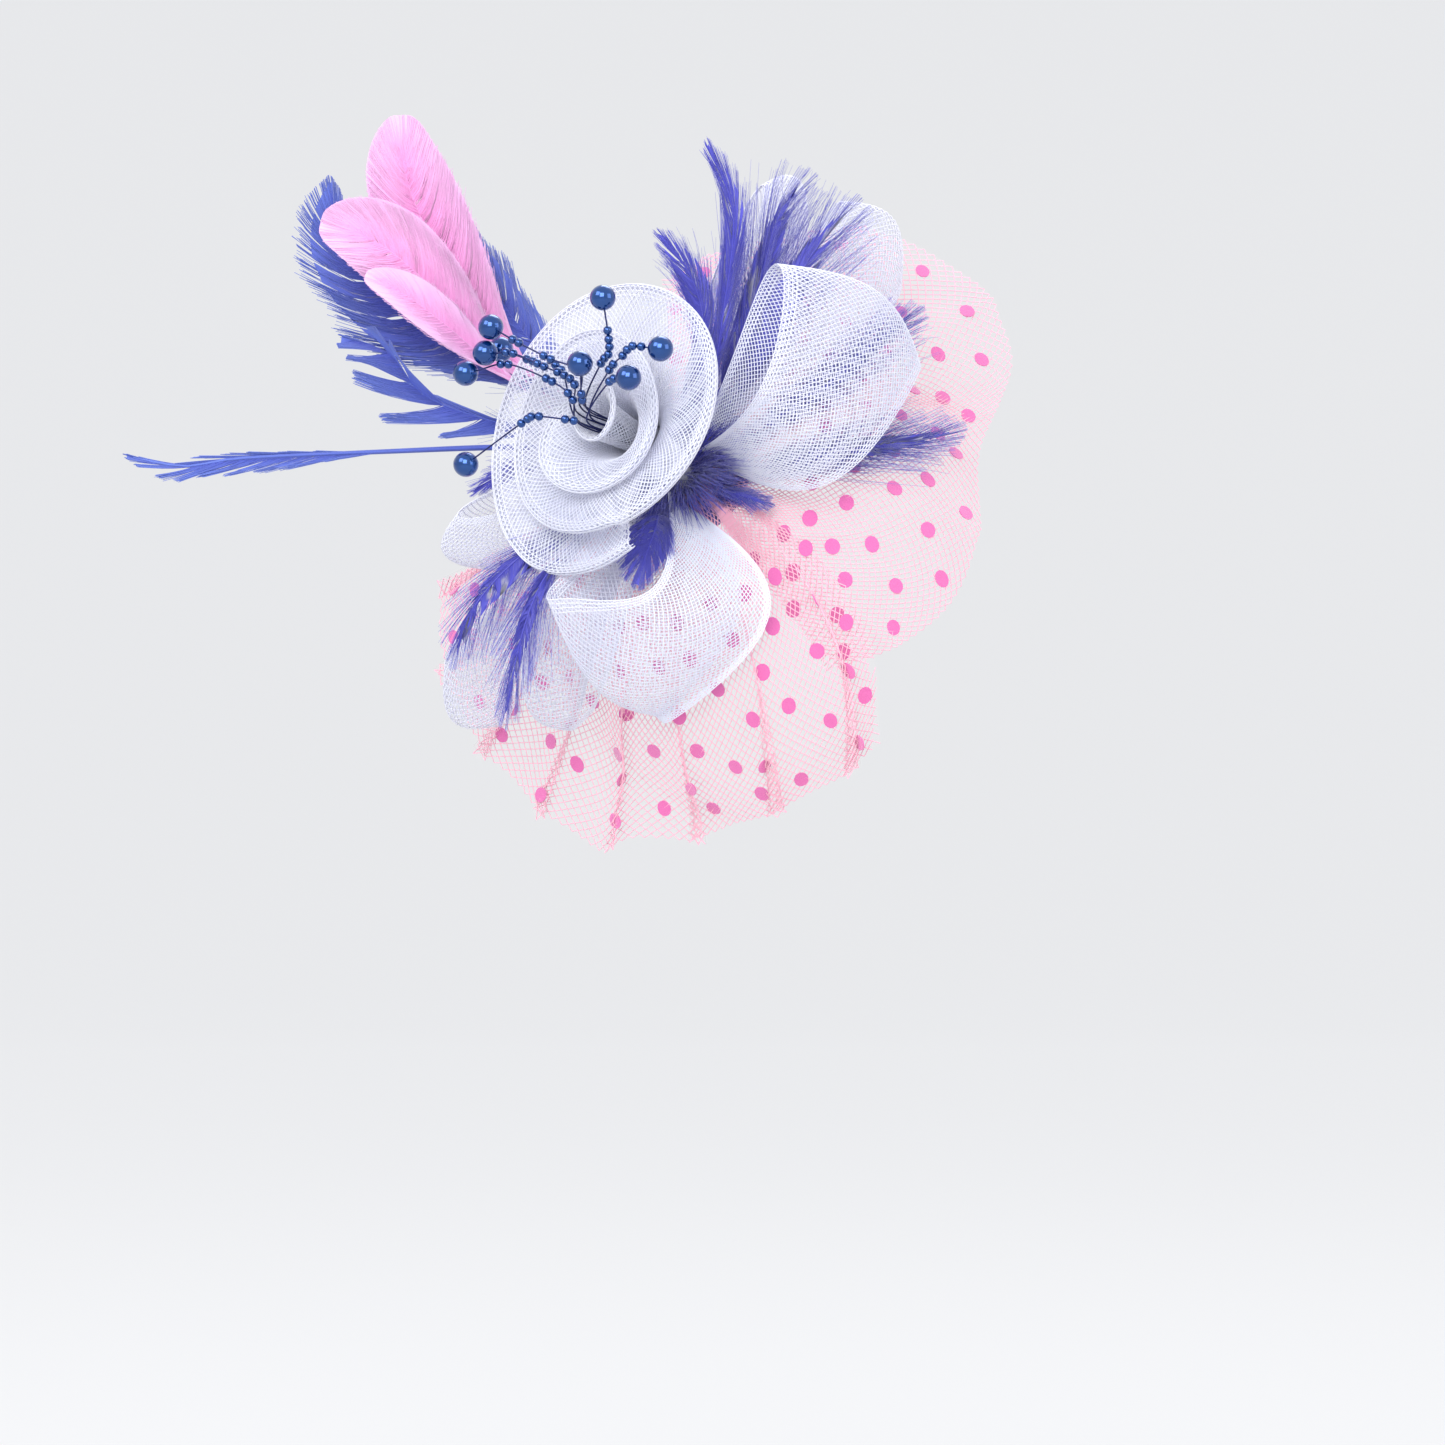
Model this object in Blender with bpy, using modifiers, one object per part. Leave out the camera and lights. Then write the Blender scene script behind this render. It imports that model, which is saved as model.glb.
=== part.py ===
"""Fascinator hat: a rolled crin rose, crin loops, a dotted net in two tiers, feathers and beaded wires
on a felt base. X points to the right of the front view, -Y to the front and +Z up. The origin is the
middle of the felt base's underside, where it sits on the head. Lengths in the tables are millimetres."""

import math

import bmesh
import bpy
import numpy as np
from mathutils import Matrix

MM = 0.001

# The head is left out. The base touches a ball of its size, and the net drapes over that ball.
HEAD_RADIUS = 95.0

FELT_RADIUS = 24.0
FELT_THICK = 3.0
CRIN_WALL = 1.0
NET_WALL = 1.0
VANE_WALL = 1.0
LAYER_GAP = 0.3

CLIP_LENGTH = 46.0
CLIP_WIDTH = 8.0
CLIP_HEIGHT = 5.5
CLIP_PLATE = 1.2
SHARP_EDGE = 40.0

NET_INNER = 5.0
NET_FLAT = 25.0
NET_RISE = 5.0
NET_RISE_RUN = 50.0
NET_SPOKES = 30
NET_STEPS = 6
NET_BOW_SHARE = 0.3

LOOP_STEPS = 16
LOOP_LANES = 3
LOOP_ROOT_RADIUS = 10.5
LOOP_ROOT_HEIGHT = 8.0
LOOP_ROOT_GAP = 2.0
LOOP_CUP = 3.0
LOOP_CROWN = 13.0
LOOP_ROOT_RAISE = 0.2
LOOP_LIFT = 2.5
# The largest value of sin(t) * sin(t / 2), which sets how a loop opens between root and fold.
LOOP_SPREAD_PEAK = 0.77

ROSE_TURNS = 2.6
ROSE_STEPS_PER_TURN = 16
ROSE_HEART = 6.0
ROSE_RADIUS = 54.0
ROSE_OPENING = 1.8
ROSE_FOOT = 2.2
ROSE_FOOT_PITCH = 1.5
ROSE_CORE = 3.4
ROSE_CORE_PITCH = 1.7
ROSE_HEART_HEIGHT = 36.0
ROSE_RIM_HEIGHT = 22.0
ROSE_LIP = 3.5
ROSE_FIRST_LIP = 0.3
ROSE_BELLY = [
    # share of the way from core to rim, share of the height
    (0.3, 0.36),
    (0.72, 0.74),
]
ROSE_LIP_CURVE = [
    # lips out from the rim, lips up from it
    (0, 0),
    (0.6, 0.2),
    (1, -0.5),
]
ROSE_SEAT = (-13.5, -13.5, 12.5)
ROSE_AXIS = (-0.63, -0.72, 0.27)

PEARL_RADIUS = 4.5
BEAD_RADIUS = 1.6
BEAD_RINGS = (-0.95, -0.4, 0.4, 0.95)
WIRE_RADIUS = 0.4
WIRE_RING = 2.1
WIRE_SPREAD = 1.55
WIRE_SAMPLES = 200
WIRE_FOOT = 2.0
WIRE_THROAT = 38.0
WIRE_FIRST_ANGLE = -80.0
WIRE_STEP = 14.0

QUILL_HALF = 0.8
FEATHER_TIP_HALF = 0.4
FEATHER_ROOT = 14.5
FEATHER_RUN = 4.0
VANE_FACE = (-0.2, -0.9, 0.3)
SHAFT_STEPS = 60
# A vane lies flat on the base at its root and has turned to its own face by this share of its length.
VANE_TURNED = 0.3
VANE_ROUND = 0.6
VANE_TAPER = 0.9
# How far the notch between two locks stays behind, in steps, and how much of the way to the tip
# a lock may reach.
NOTCH_BACK = 0.6
LOCK_REACH = 0.7


def unit(vector):
    vector = np.asarray(vector, float)
    return vector / np.linalg.norm(vector)


OUT = unit((-0.45, -0.75, 0.48))
UP_SLOPE = unit(np.cross(OUT, (1.0, 0.0, 0.0)))
ACROSS = np.cross(UP_SLOPE, OUT)
HEAD_CENTRE = -HEAD_RADIUS * OUT
VEIL_UPPER_LEVEL = FELT_THICK + LAYER_GAP + NET_WALL / 2
VEIL_LOWER_LEVEL = VEIL_UPPER_LEVEL + NET_WALL + LAYER_GAP

# The lowest level for what lies over the base, on the felt, the upper net or the lower net.
ON_FELT = FELT_THICK + LAYER_GAP
ON_UPPER_NET = ON_FELT + NET_WALL + LAYER_GAP
ON_LOWER_NET = ON_UPPER_NET + NET_WALL + LAYER_GAP
OVER_LOOPS = LOOP_ROOT_HEIGHT + LAYER_GAP
BEDS = {
    "felt": ON_FELT,
    "quills": ON_FELT + VANE_WALL + LAYER_GAP,
    "upper_net": ON_UPPER_NET,
    "upper_loops": ON_UPPER_NET + OVER_LOOPS,
    "lower_net": ON_LOWER_NET,
    "lower_loops": ON_LOWER_NET + OVER_LOOPS,
}
# The angles round the base between which the lower net lies over the upper one.
LOWER_NET_ANGLES = (-200, -32)

COLORS = {
    "blue_felt": ((0.05, 0.06, 0.35), 0.95, 0.0),
    "steel": ((0.62, 0.63, 0.65), 0.3, 1.0),
    "white_crin": ((0.93, 0.93, 0.97), 0.45, 0.0),
    "pink_net": ((0.95, 0.78, 0.8), 0.7, 0.0),
    "pink_feather": ((0.95, 0.45, 0.78), 0.7, 0.0),
    "blue_feather": ((0.06, 0.08, 0.55), 0.7, 0.0),
    "blue_pearl": ((0.01, 0.05, 0.25), 0.2, 0.6),
    "blue_wire": ((0.02, 0.04, 0.2), 0.4, 0.6),
}

# One row a loop: where its root stands round the base, the outer ends of its two selvedges, how far
# each selvedge bows off its straight line, and how wide the loop is open at each selvedge.
LOOPS = [
    # name, root_angle, near_tip, far_tip, near_bow, far_bow, near_gap, far_gap
    ("crin_loop_right", 26, (32, -46, 74), (82, -8, 42), (3, -8, -2), (3, -24, -24), 30, 8),
    ("crin_loop_lower", -104, (-48, -44, -42), (-6, -14, -83), (4, -8, 0), (30, -18, 2), 30, 14),
    ("crin_loop_lower_left", -131, (-59, -24, -50), (-43, 4, -88), (4, -2, -2), (4, -2, -8), 9, 7),
    ("crin_loop_far_left", -155, (-88, 6, -64), (-68, 30, -86), (-4, 0, 8), (-8, 2, 0), 8, 7),
    ("crin_loop_back_left", 178, (-84, 18, -10), (-74, 40, -28), (0, -2, 2), (0, 2, -6), 12, 10),
    ("crin_loop_top", 58, (54, 8, 102), (76, 32, 72), (3, 0, 2), (4, -4, -4), 11, 9),
    ("crin_loop_top_back", 85, (26, 10, 108), (42, 38, 92), (-3, 2, 0), (-5, -2, 0), 9, 8),
]

# One row a spoke, from the first edge of a tier to its last: the outer end of the spoke.
VEIL_LOWER_EDGE = [
    # x, y, z
    (67, -24, -92),
    (54, -14, -102),
    (37, -6, -111),
    (19, 2, -119),
    (3, 8, -126),
    (-21, 16, -126),
    (-34, 24, -130),
    (-56, 36, -114),
    (-74, 50, -96),
    (-88, 62, -72),
    (-92, 72, -48),
    (-86, 78, -24),
]
VEIL_UPPER_EDGE = [
    # x, y, z
    (48, -24, -66),
    (70, -20, -58),
    (92, -14, -42),
    (100, -4, -20),
    (103, 10, 8),
    (108, 26, 24),
    (117, 46, 46),
    (110, 60, 68),
    (92, 70, 86),
    (66, 74, 96),
    (40, 74, 96),
    (14, 70, 88),
    (-14, 60, 76),
]
# One row a tier: its edge, first and last angle round the base, level, drape off the head, pleats,
# and how far the middle of its first spoke bows off a straight line.
VEILS = [
    # name, edge, first_angle, last_angle, level, drape, pleats, pleat_depth, first_bow
    ("veil_upper", VEIL_UPPER_EDGE, -58, 104, VEIL_UPPER_LEVEL, 5.5, 6, 2.5, (0, 0, 0)),
    ("veil_lower", VEIL_LOWER_EDGE, -32, -200, VEIL_LOWER_LEVEL, 9.5, 8, 5.0, (15, -5, 6)),
]

# One row a feather: where its quill starts round the base, what it lies on there, the points that
# its shaft passes, its half widths on the two sides, the shares of its length where the vane starts
# and is widest, how many locks the vane has, how full it is between them and how far they sweep on.
FEATHERS = [
    # name, slot, root_angle, bed, shaft, left_width, right_width, bare, widest, locks, between, sweep
    ("pink_feather_upper", "pink_feather", 114, "quills",
     [(-40, 10, 30), (-64, 13.5, 46), (-88, 4, 80), (-101, -4, 108), (-103, -8, 131)],
     17, 18, 0.4, 0.6, 4, 0.93, 0.03),
    ("pink_feather_front", "pink_feather", 125, "quills",
     [(-42, 8, 27), (-66, 10.5, 43), (-93, -4, 71), (-112, -12, 86), (-131, -16, 92)],
     14, 15, 0.45, 0.6, 4, 0.93, 0.03),
    ("pink_feather_low", "pink_feather", 136, "quills",
     [(-44, 7, 24), (-68, 9.2, 41), (-89, -8, 58), (-103, -16, 68), (-115, -20, 73)],
     7, 8, 0.5, 0.55, 3, 0.9, 0.03),
    ("blue_feather_backing_left", "blue_feather", 131, "felt",
     [(-46, 14, 31), (-70, 17, 44), (-100, 13, 58), (-124, 8, 84), (-129, 3, 111)],
     16, 8, 0.32, 0.55, 7, 0.7, 0.09),
    ("blue_feather_backing_right", "blue_feather", 114, "felt",
     [(-40, 15, 34), (-62, 19, 58), (-76, 19, 80), (-84, 17, 98)], 7, 9, 0.35, 0.45, 6, 0.6, 0.09),
    ("blue_feather_split", "blue_feather", 144, "felt",
     [(-44, 12, 18), (-66, 16, 22), (-95, 9, 32), (-108, 3, 47), (-127, -4, 53)],
     14, 3, 0.38, 0.45, 5, 0.45, 0.14),
    ("blue_feather_long", "blue_feather", 154, "felt",
     [(-40, 9, 12), (-66, 15, 14), (-110, 5, 12), (-160, -8, 9), (-180, -12, 6), (-202, -18, 10)],
     8, 2, 0.58, 0.55, 6, 0.6, 0.1),
    ("hackle_left", "blue_feather", 164, "lower_loops",
     [(-40, 5, 11), (-62, 9, 7), (-80, 8, -4)], 4, 5, 0.4, 0.4, 4, 0.6, 0.1),
    ("hackle_lower_left", "blue_feather", -166, "lower_loops",
     [(-36, -18, -12), (-60, -16, -26), (-78, -14, -46), (-85, -12, -67)],
     10, 5, 0.35, 0.4, 6, 0.55, 0.12),
    ("hackle_down", "blue_feather", -145, "lower_loops",
     [(-34, -22, -14), (-50, -28, -32), (-59, -34, -54), (-66, -30, -88)],
     4, 5, 0.45, 0.4, 6, 0.6, 0.12),
    ("hackle_mouth", "blue_feather", -104, "lower_loops",
     [(-12, -30, -16), (-16, -36, -28), (-19, -40, -39)], 9, 10, 0.25, 0.45, 5, 0.7, 0.1),
    ("hackle_small_right", "blue_feather", -28, "lower_net",
     [(12, -17, -3), (22, -24, -6), (30, -26, -9)], 3, 4, 0.3, 0.4, 3, 0.6, 0.12),
    ("hackle_right", "blue_feather", -5, "upper_net",
     [(24, -18, 4), (50, -18, 10), (76, -12, 14), (99, -8, 20)], 8, 6, 0.2, 0.45, 7, 0.6, 0.14),
    ("hackle_far_right", "blue_feather", 10, "upper_net",
     [(24, -6, 16), (46, 0, 34), (66, 6, 51), (84, 14, 65)], 6, 6, 0.3, 0.45, 6, 0.6, 0.14),
    ("hackle_upper_right", "blue_feather", 44, "upper_loops",
     [(18, -18, 34), (34, -17, 66), (48, -12, 88), (61, -10, 103)], 8, 8, 0.25, 0.5, 7, 0.6, 0.14),
    ("hackle_top_right", "blue_feather", 68, "upper_loops",
     [(12, -12, 36), (24, -10, 70), (32, -9, 96), (44, -8, 112)], 8, 7, 0.25, 0.5, 7, 0.6, 0.14),
    ("hackle_top", "blue_feather", 82, "upper_loops",
     [(6, -16.5, 30), (12, -18, 62), (15, -20, 96), (5, -22, 122)], 5, 6, 0.3, 0.5, 7, 0.6, 0.14),
    ("hackle_top_left", "blue_feather", 101, "upper_loops",
     [(-1, -8, 28), (5, -8, 52), (0, -8, 74), (-13, -8, 91)], 6, 6, 0.3, 0.5, 6, 0.6, 0.12),
]

# One row a wire: its place in the ring of wires in the rose's core, its pearl, and the small beads
# on the way there from the heart of the rose out.
WIRES = [
    # place, pearl, beads
    (1, (-21, -72, 34), [(-28, -62, 33)]),
    (2, (-10, -72, 44), [(-28, -62, 37), (-23, -67, 42), (-20, -70, 45)]),
    (3, (-38, -62, 39.5), [(-37.5, -51, 27.5)]),
    (4, (-30, -66, 62), [(-31, -57, 39.5), (-28, -62, 43), (-28, -64, 48)]),
    (5, (-70, -34, 54), [(-38, -50, 37), (-49, -50, 42), (-60, -42, 48)]),
    (7, (-67, -20, 47), [(-45, -42, 38.5), (-55, -32, 42)]),
    (6, (-72, -32, 45), [(-40, -52, 32.5), (-43.5, -49.5, 36), (-51, -45, 39.5), (-62, -38, 44.5)]),
    (8, (-79, -30, 38), [(-41, -50, 28), (-48, -48, 34), (-64, -33, 41)]),
    (0, (-79, -28, 6), [(-41, -47.5, 20.5), (-53, -46, 22), (-57, -44, 21)]),
]


def base_point(angle, radius, level):
    """A point over the base: turned round its axis from ACROSS, and raised off its underside."""
    turn = math.radians(angle)
    return radius * (math.cos(turn) * ACROSS + math.sin(turn) * UP_SLOPE) + level * OUT


def through(points, steps):
    """Evenly spaced points on a smooth curve through the given ones."""
    points = np.asarray(points, float)
    ends = np.vstack([2 * points[0] - points[1], points, 2 * points[-1] - points[-2]])
    fine = []
    for i in range(len(points) - 1):
        before, start, end, after = ends[i : i + 4]
        for t in np.linspace(0, 1, 12, endpoint=False):
            fine.append(
                0.5 * (2 * start + (end - before) * t
                       + (2 * before - 5 * start + 4 * end - after) * t**2
                       + (3 * start - before - 3 * end + after) * t**3)
            )
    fine.append(points[-1])
    fine = np.array(fine)
    length = np.concatenate([[0], np.cumsum(np.linalg.norm(np.diff(fine, axis=0), axis=1))])
    wanted = np.linspace(0, length[-1], steps + 1)
    return np.stack([np.interp(wanted, length, fine[:, k]) for k in range(3)], axis=1)


def material(slot):
    found = bpy.data.materials.get(slot)
    if found:
        return found
    color, roughness, metallic = COLORS[slot]
    made = bpy.data.materials.new(slot)
    made.use_nodes = True
    shader = made.node_tree.nodes["Principled BSDF"]
    shader.inputs["Base Color"].default_value = (*color, 1.0)
    shader.inputs["Roughness"].default_value = roughness
    shader.inputs["Metallic"].default_value = metallic
    return made


def add_object(name, data, slot):
    obj = bpy.data.objects.new(name, data)
    data.materials.append(material(slot))
    bpy.data.collections["fascinator_hat"].objects.link(obj)
    return obj


def add_sheet(name, rows, wall, slot):
    """A solid sheet through rows of points: an open surface with a wall."""
    bm = bmesh.new()
    grid = [[bm.verts.new(point * MM) for point in row] for row in rows]
    for row, following in zip(grid, grid[1:]):
        for j in range(len(row) - 1):
            bm.faces.new((row[j], row[j + 1], following[j + 1], following[j]))
    mesh = bpy.data.meshes.new(name)
    bm.to_mesh(mesh)
    bm.free()
    mesh.shade_smooth()
    obj = add_object(name, mesh, slot)
    solidify = obj.modifiers.new("wall", "SOLIDIFY")
    solidify.thickness = wall * MM
    solidify.offset = 0.0
    solidify.use_even_offset = True
    return obj


def add_felt_base():
    bm = bmesh.new()
    bmesh.ops.create_cone(
        bm, cap_ends=True, segments=32, radius1=FELT_RADIUS * MM, radius2=FELT_RADIUS * MM,
        depth=FELT_THICK * MM,
    )
    mesh = bpy.data.meshes.new("felt_base")
    bm.to_mesh(mesh)
    bm.free()
    mesh.shade_smooth()
    mesh.set_sharp_from_angle(angle=math.radians(SHARP_EDGE))
    obj = add_object("felt_base", mesh, "blue_felt")
    obj.matrix_world = base_frame(FELT_THICK / 2)


def base_frame(level):
    frame = Matrix.Identity(4)
    for i, axis in enumerate((ACROSS, UP_SLOPE, OUT)):
        for k in range(3):
            frame[k][i] = axis[k]
    frame.translation = OUT * level * MM
    return frame


def add_hair_clip():
    """Two jaws of one folded strip: a side outline with the slot between them, drawn out to its width."""
    half = CLIP_LENGTH / 2
    inner = CLIP_HEIGHT - CLIP_PLATE
    outline = [
        (-half, 0),
        (half - CLIP_HEIGHT / 3, 0),
        (half, CLIP_HEIGHT / 3),
        (half, CLIP_HEIGHT * 2 / 3),
        (half - CLIP_HEIGHT / 3, CLIP_HEIGHT),
        (-half, CLIP_HEIGHT),
        (-half, inner),
        (half - 2 * CLIP_PLATE, inner),
        (half - 2 * CLIP_PLATE, CLIP_PLATE),
        (-half, CLIP_PLATE),
    ]
    curve = bpy.data.curves.new("hair_clip", "CURVE")
    curve.dimensions = "2D"
    curve.fill_mode = "BOTH"
    curve.extrude = CLIP_WIDTH / 2 * MM
    spline = curve.splines.new("POLY")
    spline.points.add(len(outline) - 1)
    for point, (x, y) in zip(spline.points, outline):
        point.co = (x * MM, y * MM, 0, 1)
    spline.use_cyclic_u = True
    obj = add_object("hair_clip", curve, "steel")
    frame = base_frame(-LAYER_GAP - CLIP_HEIGHT)
    obj.matrix_world = frame @ Matrix.Rotation(math.pi / 2, 4, "X")


def bed_at(angle):
    """What a loop stands on at this angle round the base."""
    first, last = LOWER_NET_ANGLES
    return ON_LOWER_NET if (angle - first) % 360 < last - first else ON_UPPER_NET


def clear_of_net(point, bed):
    """The point moved off the head until it lies over the net, whose flat middle is at the bed's level."""
    out = point @ OUT
    from_axis = np.linalg.norm(point - out * OUT)
    if from_axis < NET_FLAT:
        return point + OUT * max(0, bed - out)
    radial = point - HEAD_CENTRE
    distance = np.linalg.norm(radial)
    flat_edge = math.hypot(HEAD_RADIUS + bed, NET_FLAT)
    least = flat_edge + NET_RISE * min(1, (from_axis - NET_FLAT) / NET_RISE_RUN)
    return point + radial / distance * max(0, least - distance)


def loop_rows(root_angle, near_tip, far_tip, near_bow, far_bow, near_gap, far_gap):
    """The strip of one loop, from its back root round the outer fold to its front root."""
    bed = bed_at(root_angle)
    near_root = base_point(root_angle, LOOP_ROOT_RADIUS, bed + LOOP_ROOT_HEIGHT)
    far_root = base_point(root_angle, LOOP_ROOT_RADIUS, bed + LOOP_ROOT_RAISE)
    near_tip, far_tip = np.array(near_tip, float), np.array(far_tip, float)
    reach = (near_tip + far_tip) / 2 - (near_root + far_root) / 2
    front = unit(np.cross(reach, far_tip - near_tip))
    if front[1] > 0:
        front = -front
    rows = []
    for i in range(LOOP_STEPS + 1):
        turn = 2 * math.pi * i / LOOP_STEPS
        out = (1 - math.cos(turn)) / 2
        side = -1 if i < LOOP_STEPS / 2 else 1
        spread = -math.sin(turn) * math.sqrt(out) / LOOP_SPREAD_PEAK
        root = side * LOOP_ROOT_GAP / 2 * (1 - out)
        near = near_root + (near_tip - near_root) * out + np.array(near_bow) * math.sin(math.pi * out)
        far = far_root + (far_tip - far_root) * out + np.array(far_bow) * math.sin(math.pi * out)
        near = near + front * (root + near_gap / 2 * spread)
        far = far + front * (root + far_gap / 2 * spread)
        row = []
        for j in range(LOOP_LANES + 1):
            lane = j / LOOP_LANES
            arch = math.sin(math.pi * lane)
            point = near * (1 - lane) + far * lane + front * LOOP_CUP * arch * spread
            point = point + unit(reach) * LOOP_CROWN * arch * out**2
            row.append(point if out == 0 else clear_of_net(point, bed + LOOP_LIFT))
        rows.append(row)
    return rows


def rose_rows():
    """The rolled strip of the rose, from its heart out: each row runs from the core up to the lip."""
    axis = unit(ROSE_AXIS)
    side = unit(np.cross((0, 0, 1), axis))
    up = np.cross(axis, side)
    count = round(ROSE_TURNS * ROSE_STEPS_PER_TURN)
    rows = []
    for i in range(count + 1):
        share = i / count
        turn = 2 * math.pi * i / ROSE_STEPS_PER_TURN
        opened = 1 - (1 - share) ** ROSE_OPENING
        rim = ROSE_HEART + (ROSE_RADIUS - ROSE_LIP - ROSE_HEART) * opened
        core = ROSE_CORE + ROSE_CORE_PITCH * i / ROSE_STEPS_PER_TURN
        foot = ROSE_FOOT + ROSE_FOOT_PITCH * i / ROSE_STEPS_PER_TURN
        height = ROSE_HEART_HEIGHT + (ROSE_RIM_HEIGHT - ROSE_HEART_HEIGHT) * share
        lip = ROSE_LIP * min(1, ROSE_FIRST_LIP + share)
        profile = [(core, 0)]
        profile += [(core + (rim - core) * r, height * h) for r, h in ROSE_BELLY]
        profile += [(rim + lip * r, height + lip * h) for r, h in ROSE_LIP_CURVE]
        outward = math.cos(turn) * side + math.sin(turn) * up
        foot_outward = unit(outward - (outward @ OUT) * OUT)
        row = [foot * foot_outward + ON_LOWER_NET * OUT]
        row += [np.array(ROSE_SEAT) + r * outward + h * axis for r, h in profile]
        rows.append(row)
    return rows


def veil_rows(edge, first_angle, last_angle, level, drape, pleats, pleat_depth, first_bow):
    """One tier of net: flat over the base, then draped over the head out to its edge."""
    ends = through(edge, NET_SPOKES)
    rows = []
    for i, end in enumerate(ends):
        share = i / NET_SPOKES
        angle = first_angle + (last_angle - first_angle) * share
        wave = (1 - math.cos(2 * math.pi * pleats * share)) / 2
        inner = base_point(angle, NET_INNER, level)
        flat = base_point(angle, NET_FLAT, level)
        row = [inner]
        for j in range(NET_STEPS):
            out = j / (NET_STEPS - 1)
            bow = math.sin(math.pi * out) * max(0, 1 - share / NET_BOW_SHARE)
            point = flat + (end - flat) * out + np.array(first_bow) * bow
            radial = point - HEAD_CENTRE
            distance = np.linalg.norm(radial)
            least = HEAD_RADIUS + level + (drape - level) * min(1, 2 * out)
            push = max(0, least - distance) if j else 0
            point = point + radial / distance * (push + pleat_depth * wave * out)
            row.append(point)
        rows.append(row)
    return rows


def feather_rows(root_angle, bed, shaft, left_width, right_width, bare, widest, locks, between, sweep):
    """A feather's quill and vane: the vane's edge runs out to a point at each lock and back between."""
    level = BEDS[bed] + VANE_WALL / 2
    start = base_point(root_angle, FEATHER_ROOT, level)
    run = base_point(root_angle, FEATHER_ROOT + FEATHER_RUN, level)
    spine = through([start, run, *shaft], SHAFT_STEPS)
    if bed in ("upper_net", "lower_net"):
        spine = np.array([clear_of_net(point, level + LAYER_GAP) for point in spine])
    count = 2 * locks
    places = [0, bare / 2] + [bare + (1 - bare) * k / count for k in range(count + 1)]
    rows = []
    for k, place in enumerate(places):
        at = place * SHAFT_STEPS
        low = min(int(at), SHAFT_STEPS - 1)
        centre = spine[low] + (spine[low + 1] - spine[low]) * (at - low)
        along = unit(spine[min(low + 3, SHAFT_STEPS)] - spine[max(low - 2, 0)])
        turned = min(1, place / VANE_TURNED)
        face = unit((1 - turned) * OUT + turned * np.asarray(VANE_FACE))
        left = unit(np.cross(face, along))
        grown = max(0, (place - bare) / (1 - bare))
        peak = math.sin(math.pi * grown ** (math.log(0.5) / math.log(widest)))
        width = max(0, peak) ** (VANE_ROUND if grown < widest else VANE_TAPER)
        width *= 1 if k % 2 else between
        swept = sweep * width - (0 if k % 2 else NOTCH_BACK * (1 - bare) / count)
        swept = max(0, min(swept, LOCK_REACH * (1 - place)))
        reach = swept * np.linalg.norm(spine[-1] - spine[0]) * along
        quill = QUILL_HALF + (FEATHER_TIP_HALF - QUILL_HALF) * place
        rows.append([
            centre + left * (quill + width * left_width) + reach,
            centre,
            centre - left * (quill + width * right_width) + reach,
        ])
    return rows


def add_pearl(name, centre):
    bm = bmesh.new()
    bmesh.ops.create_uvsphere(bm, u_segments=12, v_segments=6, radius=PEARL_RADIUS * MM)
    mesh = bpy.data.meshes.new(name)
    bm.to_mesh(mesh)
    bm.free()
    mesh.shade_smooth()
    obj = add_object(name, mesh, "blue_pearl")
    obj.location = np.array(centre) * MM


def wire_points(place, pearl, beads):
    """The places and radii along one wire, from the rose's core to just short of the pearl."""
    axis = unit(ROSE_AXIS)
    side = unit(np.cross((0, 0, 1), axis))
    up = np.cross(axis, side)
    turn = math.radians(WIRE_FIRST_ANGLE) + 2 * math.pi * place / len(WIRES)
    ring = WIRE_RING * (math.cos(turn) * side + math.sin(turn) * up)
    foot = np.array(ROSE_SEAT) + WIRE_FOOT * axis + ring
    throat = np.array(ROSE_SEAT) + WIRE_THROAT * axis + ring * WIRE_SPREAD
    pearl = np.array(pearl, float)
    last = np.array(beads[-1], float)
    end = pearl - unit(pearl - last) * (PEARL_RADIUS + LAYER_GAP)
    route = [foot, (foot + throat) / 2, throat, *beads, end]
    fine = through(route, WIRE_SAMPLES)
    length = np.concatenate([[0], np.cumsum(np.linalg.norm(np.diff(fine, axis=0), axis=1))])
    stops = {0.0: WIRE_RADIUS, length[-1]: WIRE_RADIUS}
    centres = [length[np.argmin(np.linalg.norm(fine - np.array(bead), axis=1))] for bead in beads]
    for centre in centres:
        for share in BEAD_RINGS:
            radius = BEAD_RADIUS * math.sqrt(1 - share**2)
            stops[centre + share * BEAD_RADIUS] = max(radius, WIRE_RADIUS)
    for start, stop in zip([0.0, *centres], [*centres, length[-1]]):
        count = int((stop - start) / WIRE_STEP)
        for k in range(1, count + 1):
            stops[start + (stop - start) * k / (count + 1)] = WIRE_RADIUS
    places = sorted(stops)
    points = [[np.interp(at, length, fine[:, k]) for k in range(3)] for at in places]
    return points, [stops[at] for at in places]


def add_wire(name, points, radii):
    curve = bpy.data.curves.new(name, "CURVE")
    curve.dimensions = "3D"
    curve.bevel_depth = MM
    curve.bevel_resolution = 3
    curve.use_fill_caps = True
    spline = curve.splines.new("POLY")
    spline.points.add(len(points) - 1)
    for point, place, radius in zip(spline.points, points, radii):
        point.co = (*(np.array(place) * MM), 1)
        point.radius = radius
    add_object(name, curve, "blue_wire")


for old in list(bpy.data.objects):
    bpy.data.objects.remove(old, do_unlink=True)
collection = bpy.data.collections.new("fascinator_hat")
bpy.context.scene.collection.children.link(collection)

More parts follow.
